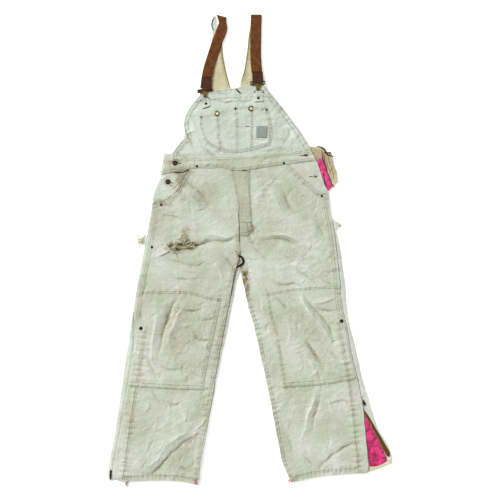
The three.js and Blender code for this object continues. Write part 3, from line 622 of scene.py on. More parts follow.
def duckFinish(name, tones, soilAndShadeTone="#8d8a66", paleTone="#e6e8e1", weave=1.0):
    # cotton duck, plain woven, washed nearly white: matte, with soft clouds of cream, grey
    # and a breath of mint
    finish, tree, shader = newFinish(name)
    links = tree.links
    place = addNode(tree, "ShaderNodeTexCoord").outputs["Object"]
    grain = addNode(tree, "ShaderNodeUVMap", uv_map="grain").outputs["UV"]
    mottle = addNode(tree, "ShaderNodeTexNoise", {
        "Vector": place, "Scale": perMetre(duckPattern["mottle"]), "Detail": 3.0,
    })
    ramp = addNode(tree, "ShaderNodeValToRGB", {"Fac": mottle.outputs["Fac"]})
    ramp.color_ramp.elements[0].position, ramp.color_ramp.elements[1].position = 0.36, 0.64
    ramp.color_ramp.elements[0].color = fromHex(tones[0])
    ramp.color_ramp.elements[1].color = fromHex(tones[2])
    middle = ramp.color_ramp.elements.new(0.5)
    middle.color = fromHex(tones[1])
    cloud = addNode(tree, "ShaderNodeTexNoise", {
        "Vector": place, "Scale": perMetre(duckPattern["cloud"]), "Detail": 5.0, "Roughness": 0.62,
    })
    cloudTone = addNode(tree, "ShaderNodeMapRange", {
        "Value": cloud.outputs["Fac"], "From Min": 0.3, "From Max": 0.7, "To Min": 0.955,
        "To Max": 1.035,
    })
    toned = addNode(tree, "ShaderNodeVectorMath", {
        0: ramp.outputs["Color"], "Scale": cloudTone.outputs["Result"],
    }, operation="SCALE")
    tintNoise = addNode(tree, "ShaderNodeTexNoise", {
        "Vector": place, "Scale": perMetre(duckPattern["tint"]), "Detail": 3.0,
    })
    tint = addNode(tree, "ShaderNodeValToRGB", {"Fac": tintNoise.outputs["Fac"]})
    tint.color_ramp.elements[0].position, tint.color_ramp.elements[1].position = 0.38, 0.62
    tint.color_ramp.elements[0].color = (1.022, 0.988, 1.03, 1)  # a pinkish cast
    tint.color_ramp.elements[1].color = (0.975, 1.014, 1.012, 1)  # a minty one
    cast = addNode(tree, "ShaderNodeVectorMath", {
        0: toned.outputs["Vector"], 1: tint.outputs["Color"],
    }, operation="MULTIPLY")
    breaks = addNode(tree, "ShaderNodeTexNoise", {
        "Vector": place, "Scale": perMetre(duckPattern["breaks"]), "Detail": 4.0, "Roughness": 0.7,
    })
    colour = cast.outputs["Vector"]
    # pale brings rubbed edges and painted highlight on fold ridges, the second attribute dirt and painted
    # shade, rust the stains
    for attribute, tone, low, high in (("pale", paleTone, 0.55, 1.15), ("soil", soilAndShadeTone, 0.35, 1.45),
                                       ("rust", "#72601f", 0.25, 1.8)):
        amount = addNode(tree, "ShaderNodeAttribute", attribute_name=attribute)
        spread = addNode(tree, "ShaderNodeMapRange", {
            "Value": breaks.outputs["Fac"], "From Min": 0.3, "From Max": 0.7, "To Min": low,
            "To Max": high,
        })
        share = addNode(tree, "ShaderNodeMath", {
            0: amount.outputs["Fac"], 1: spread.outputs["Result"],
        }, operation="MULTIPLY", use_clamp=True)
        mixed = addNode(tree, "ShaderNodeMix", {
            "Factor": share.outputs["Value"], "A": colour, "B": fromHex(tone),
        }, data_type="RGBA")
        colour = mixed.outputs["Result"]
    # fine flecks: specks of white paint, and darker specks of dirt
    specks = addNode(tree, "ShaderNodeTexNoise", {
        "Vector": place, "Scale": perMetre(duckPattern["fleck"]), "Detail": 1.0,
    })
    white = addNode(tree, "ShaderNodeMapRange", {
        "Value": specks.outputs["Fac"], "From Min": 0.66, "From Max": 0.74, "To Min": 0.0,
        "To Max": 0.55,
    })
    dark = addNode(tree, "ShaderNodeMapRange", {
        "Value": specks.outputs["Fac"], "From Min": 0.33, "From Max": 0.25, "To Min": 0.0,
        "To Max": 0.30,
    })
    spattered = addNode(tree, "ShaderNodeMix", {
        "Factor": white.outputs["Result"], "A": colour, "B": fromHex("#f0f2ec"),
    }, data_type="RGBA")
    flecked = addNode(tree, "ShaderNodeMix", {
        "Factor": dark.outputs["Result"], "A": spattered.outputs["Result"], "B": fromHex(soilAndShadeTone),
    }, data_type="RGBA")
    weaveScale = perMetre(duckPattern["threadShown"]) * waveShare
    warp = addNode(tree, "ShaderNodeTexWave", {
        "Vector": grain, "Scale": weaveScale, "Distortion": 1.2, "Detail": 2.0,
    }, bands_direction="X")
    weft = addNode(tree, "ShaderNodeTexWave", {
        "Vector": grain, "Scale": weaveScale, "Distortion": 1.2, "Detail": 2.0,
    }, bands_direction="Y")
    woven = addNode(tree, "ShaderNodeMath", {
        0: warp.outputs["Fac"], 1: weft.outputs["Fac"],
    }, operation="ADD")
    threads = addNode(tree, "ShaderNodeMapRange", {
        "Value": woven.outputs["Value"], "From Min": 0.0, "From Max": 2.0, "To Min": 1 - 0.075 * weave,
        "To Max": 1 + 0.06 * weave,
    })
    # slubs and washed-out nap: a grainy light and dark a yarn or two across
    slubs = addNode(tree, "ShaderNodeTexNoise", {
        "Vector": place, "Scale": perMetre(duckPattern["grit"]), "Detail": 2.0, "Roughness": 0.8,
    })
    nap = addNode(tree, "ShaderNodeMapRange", {
        "Value": slubs.outputs["Fac"], "From Min": 0.3, "From Max": 0.7, "To Min": 1 - 0.125 * weave,
        "To Max": 1 + 0.105 * weave,
    })
    grained = addNode(tree, "ShaderNodeMath", {
        0: threads.outputs["Result"], 1: nap.outputs["Result"],
    }, operation="MULTIPLY")
    cloth = addNode(tree, "ShaderNodeVectorMath", {
        0: flecked.outputs["Result"], "Scale": grained.outputs["Value"],
    }, operation="SCALE")
    links.new(cloth.outputs["Vector"], shader.inputs["Base Color"])
    creasing = addNode(tree, "ShaderNodeTexNoise", {
        "Vector": place, "Scale": perMetre(duckPattern["creasing"]), "Detail": 5.0, "Roughness": 0.6,
        "Distortion": 0.6,
    })
    rough = addNode(tree, "ShaderNodeBump", {
        "Height": woven.outputs["Value"], "Strength": 0.35 * weave, "Distance": 0.0003,
    })
    soft = addNode(tree, "ShaderNodeBump", {
        "Height": creasing.outputs["Fac"], "Strength": 0.85, "Distance": 0.0022,
        "Normal": rough.outputs["Normal"],
    })
    links.new(soft.outputs["Normal"], shader.inputs["Normal"])
    shader.inputs["Roughness"].default_value = 0.93
    shader.inputs["Specular IOR Level"].default_value = 0.25
    shader.inputs["Sheen Weight"].default_value = 0.12
    shader.inputs["Sheen Roughness"].default_value = 0.6
    return finish


def plainCloth(name, tones, size, roughness=0.85, bump=0.6, attribute=None, attributeTone="#000000"):
    # woven or felted trim: one tone broken by yarn-sized mottling
    finish, tree, shader = newFinish(name)
    place = addNode(tree, "ShaderNodeTexCoord").outputs["Object"]
    mottle = addNode(tree, "ShaderNodeTexNoise", {
        "Vector": place, "Scale": perMetre(size), "Detail": 4.0, "Roughness": 0.65,
    })
    tone = addNode(tree, "ShaderNodeMapRange", {
        "Value": mottle.outputs["Fac"], "From Min": 0.32, "From Max": 0.68,
    })
    mixed = addNode(tree, "ShaderNodeMix", {
        "Factor": tone.outputs["Result"], "A": fromHex(tones[0]), "B": fromHex(tones[1]),
    }, data_type="RGBA")
    colour = mixed.outputs["Result"]
    if attribute:
        amount = addNode(tree, "ShaderNodeAttribute", attribute_name=attribute)
        colour = addNode(tree, "ShaderNodeMix", {"Factor": amount.outputs["Fac"], "A": colour,
                                                 "B": fromHex(attributeTone)},
                         data_type="RGBA").outputs["Result"]
    tree.links.new(colour, shader.inputs["Base Color"])
    relief = addNode(tree, "ShaderNodeBump", {
        "Height": mottle.outputs["Fac"], "Strength": bump, "Distance": 0.0006,
    })
    tree.links.new(relief.outputs["Normal"], shader.inputs["Normal"])
    shader.inputs["Roughness"].default_value = roughness
    shader.inputs["Specular IOR Level"].default_value = 0.15
    return finish


def webbingFinish(name, tones):
    # ribbed cotton and rubber webbing: crosswise ribs, with pale yarns worn through the brown
    finish, tree, shader = newFinish(name)
    grain = addNode(tree, "ShaderNodeUVMap", uv_map="grain").outputs["UV"]
    ribs = addNode(tree, "ShaderNodeTexWave", {
        "Vector": grain, "Scale": perMetre(4.2) / 3.14 / 2, "Distortion": 3.0, "Detail": 2.0,
        "Detail Scale": 3.0,
    }, bands_direction="X")
    worn = addNode(tree, "ShaderNodeTexNoise", {
        "Vector": grain, "Scale": perMetre(16), "Detail": 6.0, "Roughness": 0.8,
    })
    share = addNode(tree, "ShaderNodeMapRange", {
        "Value": worn.outputs["Fac"], "From Min": 0.32, "From Max": 0.66,
    })
    mixed = addNode(tree, "ShaderNodeMix", {
        "Factor": share.outputs["Result"], "A": fromHex(tones[0]), "B": fromHex(tones[1]),
    }, data_type="RGBA")
    light = addNode(tree, "ShaderNodeMapRange", {
        "Value": ribs.outputs["Fac"], "To Min": 0.9, "To Max": 1.08,
    })
    ribbed = addNode(tree, "ShaderNodeVectorMath", {
        0: mixed.outputs["Result"], "Scale": light.outputs["Result"],
    }, operation="SCALE")
    edge = addNode(tree, "ShaderNodeAttribute", attribute_name="selvedge")
    bound = addNode(tree, "ShaderNodeMix", {
        "Factor": edge.outputs["Fac"], "A": ribbed.outputs["Vector"], "B": fromHex(tones[2]),
    }, data_type="RGBA")
    tree.links.new(bound.outputs["Result"], shader.inputs["Base Color"])
    relief = addNode(tree, "ShaderNodeBump", {
        "Height": ribs.outputs["Fac"], "Strength": 0.6, "Distance": 0.0006,
    })
    tree.links.new(relief.outputs["Normal"], shader.inputs["Normal"])
    shader.inputs["Roughness"].default_value = 0.88
    shader.inputs["Specular IOR Level"].default_value = 0.15
    return finish


def satinFinish(name, tones):
    # nylon satin of the quilted lining: a soft shine that breaks over its small wrinkles
    finish, tree, shader = newFinish(name)
    place = addNode(tree, "ShaderNodeTexCoord").outputs["Object"]
    shade = addNode(tree, "ShaderNodeAttribute", attribute_name="soil")
    cloud = addNode(tree, "ShaderNodeTexNoise", {"Vector": place, "Scale": perMetre(14), "Detail": 4.0})
    tone = addNode(tree, "ShaderNodeMapRange", {
        "Value": cloud.outputs["Fac"], "From Min": 0.4, "From Max": 0.6,
    })
    mixed = addNode(tree, "ShaderNodeMix", {
        "Factor": tone.outputs["Result"], "A": fromHex(tones[0]), "B": fromHex(tones[1]),
    }, data_type="RGBA")
    # the third, deepest tone comes in with the attribute read above: dirt and painted shade
    deep = addNode(tree, "ShaderNodeMix", {
        "Factor": shade.outputs["Fac"], "A": mixed.outputs["Result"], "B": fromHex(tones[2]),
    }, data_type="RGBA")
    tree.links.new(deep.outputs["Result"], shader.inputs["Base Color"])
    relief = addNode(tree, "ShaderNodeBump", {
        "Height": cloud.outputs["Fac"], "Strength": 0.7, "Distance": 0.002,
    })
    tree.links.new(relief.outputs["Normal"], shader.inputs["Normal"])
    shader.inputs["Roughness"].default_value = 0.42
    shader.inputs["Sheen Weight"].default_value = 0.25
    return finish


def metalFinish(name, base, tarnish, size, roughness, metallic=1.0, share=(0.42, 0.6)):
    # pressed metal: bright where rubbed, dull with tarnish or rust elsewhere
    finish, tree, shader = newFinish(name)
    place = addNode(tree, "ShaderNodeTexCoord").outputs["Object"]
    spots = addNode(tree, "ShaderNodeTexNoise", {
        "Vector": place, "Scale": perMetre(size), "Detail": 4.0, "Roughness": 0.6,
    })
    amount = addNode(tree, "ShaderNodeMapRange", {
        "Value": spots.outputs["Fac"], "From Min": share[0], "From Max": share[1],
    })
    mixed = addNode(tree, "ShaderNodeMix", {
        "Factor": amount.outputs["Result"], "A": fromHex(base), "B": fromHex(tarnish),
    }, data_type="RGBA")
    tree.links.new(mixed.outputs["Result"], shader.inputs["Base Color"])
    dull = addNode(tree, "ShaderNodeMapRange", {
        "Value": amount.outputs["Result"], "To Min": roughness, "To Max": min(1, roughness + 0.3),
    })
    tree.links.new(dull.outputs["Result"], shader.inputs["Roughness"])
    shader.inputs["Metallic"].default_value = metallic
    return finish


duckPale = duckFinish("washed duck canvas", ("#b7bba6", "#c1c5b2", "#c9cdbe"))
duckPatch = duckFinish("washed duck knee patch", ("#b6baa4", "#c0c4b1", "#c7cbba"))
duckBib = duckFinish("bleached duck of the bib", ("#bcc5b3", "#c5cebe", "#ccd4c7"))
duckFly = duckFinish("worn duck of the fly", ("#a8ab95", "#b3b6a0", "#bec1ae"), weave=1.6)
duckInside = duckFinish("unbleached inside of the duck", ("#b5ab7d", "#c0b88e", "#cdc6a6"),
                        soilAndShadeTone="#9a8850", paleTone="#e4dfc8")
duckFlap = duckFinish("tan turned hip flap", ("#957c55", "#b4a07c", "#c9bb9e"), soilAndShadeTone="#8f7444",
                      paleTone="#d9cfb2")
# a darker copy of the pink satin: painted shade inside the leg
satinShaded = satinFinish("pink nylon satin with painted shade inside the leg", ("#960f44", "#dc2f7a", "#5c0c2a"))
bindingTan = plainCloth("browned binding", ("#7d7046", "#a5976b"), 5)
# dark brown: browned edges and crotch stains, and painted shadow at the hip flap's folds
foldBrownAndShadow = plainCloth("browned folded edge and painted shadow", ("#2e1e10", "#5c4024"), 5)
satinPink = satinFinish("pink nylon satin lining", ("#c02062", "#e84f96", "#6a1034"))
webbingBrown = webbingFinish("brown ribbed elastic webbing", ("#3d210d", "#7d4d26", "#1d1009"))
webbingDark = webbingFinish("dark end of the webbing", ("#361f17", "#5a3526", "#24130d"))
zipTapeBrown = plainCloth("brown woven zip tape", ("#50300c", "#6d4817"), 5)
labelGrey = plainCloth("bare grey woven patch", ("#7f8983", "#9aa39b"), 3.5)
threadOlive = plainCloth("olive cotton thread", ("#7f7d5c", "#a09e80"), 12, bump=0.2)
threadDark = plainCloth("soiled cotton thread", ("#55523a", "#77745a"), 12, bump=0.2)
threadCream = plainCloth("cream frayed yarn", ("#cbbf9a", "#e8e2ce"), 9, bump=0.2)
threadBrown = plainCloth("rust brown frayed yarn", ("#4a3c18", "#7d6a34"), 9, bump=0.2)
shadowSlit = plainCloth("shaded inside of a slit", ("#0c0a07", "#1f1911"), 6, roughness=1.0)
brass = metalFinish("rubbed brass", "#a98a24", "#6b5a1c", 4, 0.4, metallic=0.5)
brassOlive = metalFinish("dull olive brass", "#8d7a36", "#4f4018", 5, 0.45, metallic=0.8)
nickelPale = metalFinish("worn nickel plate", "#f6f0d8", "#cfc6a2", 5, 0.4, metallic=0.2)
nickelDark = metalFinish("tarnished nickel wire", "#8f8c80", "#2e2c26", 6, 0.35, metallic=0.9)
rivetWashed = metalFinish("copper rivet under pale paint", "#b9bca6", "#6b6a52", 4, 0.5, metallic=0.1)
rivetDark = metalFinish("blackened copper rivet", "#6b6a58", "#2b2a24", 3, 0.45, share=(0.35, 0.55))
buttonRust = metalFinish("rusted tack button", "#2e1e0f", "#150d07", 4, 0.5, metallic=0.5)
# a painted glint: the tack button's lighter middle
buttonGlint = metalFinish("painted glint in the middle of a tack button", "#9a6a2a", "#4a3014", 3, 0.4, metallic=0.6)
slideDark = metalFinish("antique brass slide", "#7c5a2c", "#1e1712", 7, 0.38, share=(0.3, 0.5))
zipMetal = metalFinish("dark zip metal", "#4a4538", "#1d1a14", 4, 0.45)
print("finishes made:", len(bpy.data.materials))

# ---- sheets: each CAD panel's outline, meshed finely and given its wall, rim, folds and wear


def outlineOf(node):
    shape = bmesh.new()
    shape.from_mesh(nodes[node].data)
    bmesh.ops.remove_doubles(shape, verts=shape.verts, dist=1e-5)
    shape.normal_update()
    top = {f.index for f in shape.faces if f.normal.z > 0.5}
    following = {}
    for face in shape.faces:
        if face.index not in top:
            continue
        for corner in face.loops:
            if sum(f.index in top for f in corner.edge.link_faces) == 1:
                following[corner.vert] = corner.link_loop_next.vert
    loops = []
    while following:
        start, vert = next(iter(following.items()))
        loop = [start]
        del following[start]
        while vert in following:
            loop.append(vert)
            vert = following.pop(vert)
        loops.append([(v.co.x * 1000, v.co.y * 1000) for v in loop])
    shape.free()
    return max(loops, key=len)


edgeWander = {"size": 30.0, "amount": 0.9, "corner": 38.0, "rounds": 10}


def softened(outline, step):
    points = []
    for (x0, y0), (x1, y1) in zip(outline, outline[1:] + outline[:1]):
        count = max(1, round(math.hypot(x1 - x0, y1 - y0) / step))
        points += [(x0 + (x1 - x0) * n / count, y0 + (y1 - y0) * n / count) for n in range(count)]
    points = np.array(points)
    keep = np.hypot(*(points - np.roll(points, 1, 0)).T) > 0.4
    points = points[keep]
    ahead, behind = np.roll(points, -3, 0) - points, points - np.roll(points, 3, 0)
    turn = np.degrees(np.abs(np.arctan2(behind[:, 0] * ahead[:, 1] - behind[:, 1] * ahead[:, 0],
                                        (behind * ahead).sum(1))))
    soft = (turn < edgeWander["corner"])[:, None]
    for _ in range(edgeWander["rounds"]):
        between = np.roll(points, 1, 0) + np.roll(points, -1, 0)
        points = np.where(soft, 0.5 * points + 0.25 * between, points)
    x, y = points.T
    amount, size = edgeWander["amount"], edgeWander["size"]
    return np.stack([x + amount * bumps(x, y, size, 81), y + amount * bumps(x, y, size, 82)], 1)


rimRings = (0.7, 2.0, 4.2)  # rows of points that follow the edge, by their depth in mm


def edgeDistance(x, y, outline):  # distance to the outline, and whether inside it
    apart, inside = np.full(x.shape, 1e9), np.zeros(x.shape, bool)
    for (x0, y0), (x1, y1) in zip(outline, np.roll(outline, -1, 0)):
        dx, dy = x1 - x0, y1 - y0
        share = np.clip(((x - x0) * dx + (y - y0) * dy) / max(dx * dx + dy * dy, 1e-9), 0, 1)
        apart = np.minimum(apart, (x - x0 - share * dx) ** 2 + (y - y0 - share * dy) ** 2)
        if dy != 0:
            crossing = (y0 > y) != (y1 > y)
            inside ^= crossing & (x < x0 + (y - y0) / dy * dx)
    return np.sqrt(apart), inside


# the flat mesh inside an outline: points, their distance to the edge, triangles
def planOf(outline, spacing):
    rows = np.arange(outline[:, 1].min(), outline[:, 1].max(), spacing * 0.866)
    columns = np.arange(outline[:, 0].min(), outline[:, 0].max(), spacing)
    x, y = np.meshgrid(columns, rows)
    x = x + spacing / 2 * (np.arange(len(rows))[:, None] % 2)
    x, y = x.ravel(), y.ravel()
    apart, inside = edgeDistance(x, y, outline)
    keep = inside & (apart > rimRings[-1] + spacing * 0.4)
    points, apart = [np.stack([x[keep], y[keep]], 1)], [apart[keep]]
    ahead = np.roll(outline, -1, 0) - np.roll(outline, 1, 0)
    inward = np.stack([-ahead[:, 1], ahead[:, 0]], 1) / np.maximum(np.hypot(*ahead.T), 1e-9)[:, None]
    for depth in rimRings:
        ring = outline + inward * depth
        ringApart, ringInside = edgeDistance(ring[:, 0], ring[:, 1], outline)
        good = ringInside & (ringApart > depth * 0.92)
        points.append(ring[good])
        apart.append(ringApart[good])
    inner = np.concatenate(points)
    every = [Vector(p) for p in np.concatenate([outline, inner])]
    count = len(outline)
    made, _, faces, *_ = delaunay_2d_cdt(every, [], [list(range(count))], 1, 1e-5)
    made = np.array([tuple(p) for p in made])
    return made, faces, count


def sheetMesh(name, outline, spacing, topOf, wall, underOf, grainTurn, front):
    made, faces, count = planOf(outline, spacing)
    x, y = made.T
    apart, _ = edgeDistance(x, y, outline)
    apart[:count] = 0
    top = topOf(x, y)
    radius = min(0.34 * wall, 1.5)
    drop = radius * (1 - np.sqrt(np.clip(1 - np.clip(1 - apart / radius, 0, 1) ** 2, 0, 1)))
    under = np.maximum(underOf(x, y), top - wall) + drop
    upper = np.maximum(top - drop, under + 0.12 * wall)
    total = len(made)
    verts = np.concatenate([np.stack([x, y, upper], 1), np.stack([x, y, under], 1)]) * toMetres
    polygons = [tuple(f) for f in faces]
    polygons += [tuple(total + i for i in reversed(f)) for f in faces]
    rim = [(i, (i + 1) % count) for i in range(count)]
    polygons += [(total + a, total + b, b, a) for a, b in rim]
    mesh = bpy.data.meshes.new(name)
    mesh.from_pydata(verts.tolist(), [], polygons)
    mesh.polygons.foreach_set("use_smooth", [True] * len(mesh.polygons))
    c, s = math.cos(math.radians(grainTurn)), math.sin(math.radians(grainTurn))
    flat = np.stack([x * c + y * s, -x * s + y * c], 1) * toMetres
    flat = np.concatenate([flat, flat])
    corners = np.zeros(len(mesh.loops), int)
    mesh.loops.foreach_get("vertex_index", corners)
    mesh.uv_layers.new(name="grain").data.foreach_set("uv", flat[corners].ravel())
    wearAndShade = wearAndShadeAt(x, y, apart, front)
    for key, values in wearAndShade.items():
        field = mesh.attributes.new(key, "FLOAT", "POINT")
        field.data.foreach_set("value", np.concatenate([values, values]).astype(np.float32))
    piece = bpy.data.objects.new(name, mesh)
    bpy.context.scene.collection.objects.link(piece)
    return piece


sheetPieces = {}


def makeSheet(name, node, finish, topOf, wall, underOf, spacing=3.8, grainTurn=0.0, front=True):
    outline = softened(outlineOf(node), min(3.2, spacing))
    piece = sheetMesh(name, outline, spacing, topOf, wall, underOf, grainTurn, front)
    piece.data.materials.append(finish)
    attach(piece, "root")
    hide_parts(node)
    sheetPieces[name] = piece
    return piece


def onLegs(x, y):
    return levels["legTop"] + frontRise(x, y)


def onBibs(x, y):
    return levels["bibTop"] + frontRise(x, y)


def plyOn(base, gap, wall):  # a ply's top and under face, lying on another surface
    return (lambda x, y: base(x, y) + gap + wall), (lambda x, y: base(x, y) + gap)


def frontFloor(x, y):
    return np.full(x.shape, levels["frontUnder"])


frontPanels = [  # name, node, finish, slot, top, wall, turn of the grain in degrees
    ("frontLegRight", "front_leg_right", duckPale, "duck", onLegs, 5.0, -11),
    ("frontLegLeft", "front_leg_left", duckPale, "duck", onLegs, 5.0, 12),
    ("zipPlacketRight", "zip_placket_right", duckPale, "duck", onLegs, 5.0, -8),
    ("zipPlacketLeft", "zip_placket_left", duckPale, "duck", onLegs, 5.0, 8),
    ("hemBandRight", "hem_band_right", duckPale, "duck", onLegs, 5.0, 0),
    ("hemBandLeft", "hem_band_left", duckPale, "duck", onLegs, 5.0, 4),
    ("hipFacingRight", "hip_facing_right", duckPale, "duck", lambda x, y: onLegs(x, y) - 0.9, 4.2, -30),
    ("hipFacingLeft", "hip_facing_left", duckPale, "duck", lambda x, y: onLegs(x, y) - 0.9, 4.2, 30),
    ("frontWaistband", "front_waistband", duckPale, "duck", lambda x, y: onLegs(x, y) + 0.9, 6.0, 3),
    ("bibFront", "bib_front", duckBib, "duck_bib", onBibs, 3.0, 0),
]
for name, node, finish, slot, top, wall, turn in frontPanels:
    makeSheet(name, node, finish, top, wall, frontFloor, grainTurn=turn, spacing=2.8)

laidOn = [  # plies sewn on the panels
    ("flyPanel", "fly", duckFly, "duck_worn", onLegs, 1.2, 0, "frontLegLeft"),
    ("kneePatchRight", "knee_patch_right", duckPatch, "duck", onLegs, 1.2, -11, "frontLegRight"),
    ("kneePatchLeft", "knee_patch_left", duckPatch, "duck", onLegs, 1.2, 12, "frontLegLeft"),
    ("bibPocket", "bib_pocket", duckBib, "duck_bib", onBibs, 1.2, 0, "bibFront"),
    ("strapTabRight", "strap_tab_right", duckBib, "duck_bib", onBibs, 1.4, 16, "bibFront"),
    ("strapTabLeft", "strap_tab_left", duckBib, "duck_bib", onBibs, 1.4, 2, "bibFront"),
]
for name, node, finish, slot, base, wall, turn, below in laidOn:
    top, under = plyOn(base, 0.2, wall)
    makeSheet(name, node, finish, top, wall, under, grainTurn=turn, spacing=2.8)
top, under = plyOn(onBibs, 1.6, 0.8)
makeSheet("plainPatch", "label_patch", labelGrey, top, 0.8, under, spacing=2.4)

backSeams = [
    [(-46, 219), (-38, 178), (-32, 140), (-32, 46), (-29, -4), (-36, -50)],
    [(-286, 266), (-100, 266), (100, 266), (190, 266)],
    [(-282, 322), (-100, 322), (100, 322), (190, 322)],
]
backCreases = [
    ([(-250, 180), (-200, 60), (-150, 20)], 16, 1.0), ([(60, 200), (120, 90), (190, 20)], 16, 1.0),
    ([(-330, -60), (-240, -150), (-130, -190)], 15, 0.9), ([(30, -120), (140, -170), (280, -160)], 15, 0.9),
    ([(-360, -330), (-280, -380), (-180, -370)], 14, 1.0),
    ([(120, -330), (220, -390), (340, -380)], 14, 1.0),
    ([(-420, -600), (-330, -640), (-220, -700)], 16, 0.9),
    ([(150, -620), (260, -690), (380, -700)], 16, 0.9),
    ([(-120, 400), (-60, 450), (20, 470)], 14, 0.8), ([(60, 360), (110, 400), (150, 380)], 12, 0.8),
]


def backUnder(x, y):  # flat where it rests, with shallow folds and stitch furrows drawn up from the surface
    rise = 0.12 * (1 + bumps(x, y, 40, 91)) + np.clip(creaseRise(x, y, backCreases), 0, 1.2)
    for points in backSeams:
        apart = alongLine(x, y, points)[0]
        rise = rise + 0.55 * np.exp(-(((apart - 3.5) / 2.2) ** 2))
    return rise


sideRoll = 3.6  # how far the back's edge stands up beside the front


def backTop(x, y):  # beyond the front's edge the side rolls up to meet it
    beyond = np.zeros(x.shape)
    for name, outward, rollTop, rollEnd in (  # but not where the left zip stands open
        ("frontSideRight", -1, 240, -900), ("frontSideLeft", 1, 240, -500), ("inseamRight", 1, -90, -620),
    ):
        edge = lines[name]
        at = np.interp(-y, [-p[1] for p in edge], [p[0] for p in edge])
        outside = (x - at) * outward
        rolled = (y < rollTop) & (y > rollEnd) & (np.abs(outside) < 60)
        climb, fall = np.clip((outside + 1.0) / 2.5, 0, 1), np.clip(1 - outside / 16, 0, 1) ** 0.7
        beyond = np.maximum(beyond, rolled * climb * fall)
    return levels["backTop"] + backRise(x, y) + sideRoll * beyond


armCreases = [
    ([(-126, 668), (-110, 640), (-98, 600)], 5, -1.0), ([(-112, 690), (-103, 650), (-92, 610)], 4, 0.8),
    ([(-122, 600), (-104, 588), (-86, 560)], 5, -0.9), ([(-104, 730), (-100, 700), (-98, 670)], 4, -0.8),
    ([(6, 600), (-2, 620), (2, 660)], 4, -0.9), ([(-16, 580), (-6, 592), (8, 590)], 5, -1.0),
    ([(2, 650), (2, 690), (8, 720)], 4, 0.7),
]


def bibBackTop(x, y):  # the back bib and its shoulder arms wrinkle more where nothing lies on them
    folds = np.abs(bumps(x * 1.5, y * 0.7, 24, 92)) + 0.5 * np.abs(bumps(x, y, 11, 93))
    bare = (y > 556).astype(float)
    rise = 0.6 * puckerRise(x, y) + 0.6 * creaseRise(x, y, armCreases)
    return levels["backTop"] - 0.1 - 0.9 * folds + bare * rise


backs = [
    ("backLegRight", "back_leg_right", duckPale, "duck", backTop, 4.0, -10, duckPale),
    ("backLegLeft", "back_leg_left", duckPale, "duck", backTop, 4.0, 12, duckPale),
    ("backWaistband", "back_waistband", duckPale, "duck", backTop, 4.0, 0, duckPale),
    ("backBib", "back_bib", duckInside, "duck_inside", bibBackTop, 4.0, 0, duckBib),
    ("armTipRight", "arm_tip_right", duckBib, "duck_bib", lambda x, y: 3.3 + 0.3 * bumps(x, y, 12, 94), 3.4,
     0, duckBib),
]
for name, node, finish, slot, top, wall, turn, outer in backs:
    piece = makeSheet(name, node, finish, top, wall, backUnder, spacing=5.0, grainTurn=turn,
                      front=False)
    if outer is not finish:
        piece.data.materials.append(outer)
        for face in piece.data.polygons:
            face.material_index = int(face.normal.z < -0.3)
print("back and front panels made")

# ---- the open hip and the open leg zip


def wrinkled(level, size, height, seed):
    def top(x, y):
        folds = 1 - np.abs(bumps(x * 1.3 + y * 0.4, y * 0.6 - x * 0.2, size, seed)) * 2
        return level + height * np.clip(folds, -0.4, 1) + 0.3 * height * bumps(x, y, size / 2.5, seed + 1)
    return top


def atLevel(level):
    return lambda x, y: np.full(x.shape, level)


trims = [  # name, node, finish, slot, top, wall, under, spacing, what it lies on
    ("hipFlapLeft", "hip_flap_left", duckFlap, "duck_inside", wrinkled(3.5, 19, 2.0, 31), 1.6,
     atLevel(2.2), 3.0, ()),
    ("hipLining", "lining_hip", satinPink, "lining", wrinkled(6.6, 13, 1.3, 33), 1.4, atLevel(4.9), 2.2,
     ("hipFlapLeft",)),
    ("legLining", "lining_leg", satinShaded, "lining", wrinkled(5.8, 17, 1.5, 35), 1.6, atLevel(4.3), 2.2,
     ("backLegLeft",)),
    ("zipTapeLeft", "zip_strip_left", zipTapeBrown, "zip_tape", wrinkled(5.9, 26, 0.4, 37), 1.8,
     atLevel(4.3), 2.2, ("backLegLeft",)),
    ("backFacingLeft", "back_facing_left", duckInside, "duck_inside", wrinkled(5.6, 13, 0.7, 39), 1.5,
     atLevel(4.3), 2.2, ("backLegLeft",)),
    ("toolLoopRight", "tool_loop_right", duckPale, "duck", wrinkled(5.9, 12, 0.8, 41), 1.3, atLevel(4.3),
     2.0, ("backLegRight",)),
    ("toolLoopLeft", "tool_loop_left", duckPale, "duck", wrinkled(5.9, 12, 0.7, 43), 1.3, atLevel(4.3),
     2.0, ("backLegLeft",)),
]
for name, node, finish, slot, top, wall, under, spacing, below in trims:
    makeSheet(name, node, finish, top, wall, under, spacing=spacing, front=False)
print("open hip and leg trims made")

# ---- straps: ribbed webbing, folded at the top, climbing to the buckle

straps = {
    "strapRight": {
        "node": "strap_right", "top": 795, "short": 22, "topSlope": -0.25, "endSlope": 0.17, "reach": 205,
        "centre": [(-96, 800), (-92, 775), (-91, 760), (-98, 736), (-112, 700), (-126, 658), (-138, 620),
                   (-145, 585), (-150, 550)],
        "lower": [(40, 4.6), (80, 4.8), (120, 5.4), (160, 6.0), (210, 6.8)], "pinch": 0.27, "pinchAt": 774,
    },
    "strapLeft": {
        "node": "strap_left", "top": 800, "short": 28, "topSlope": 0.0, "endSlope": 0.03, "reach": 205,
        "centre": [(23, 800), (21, 695), (22, 638), (27, 590), (29, 560)],
        "lower": [(50, 4.6), (100, 5.0), (150, 5.6), (198, 6.6)], "pinch": 0.0, "pinchAt": 774,
    },
}
webbing = {"width": 37, "wall": 1.6, "columns": 13}


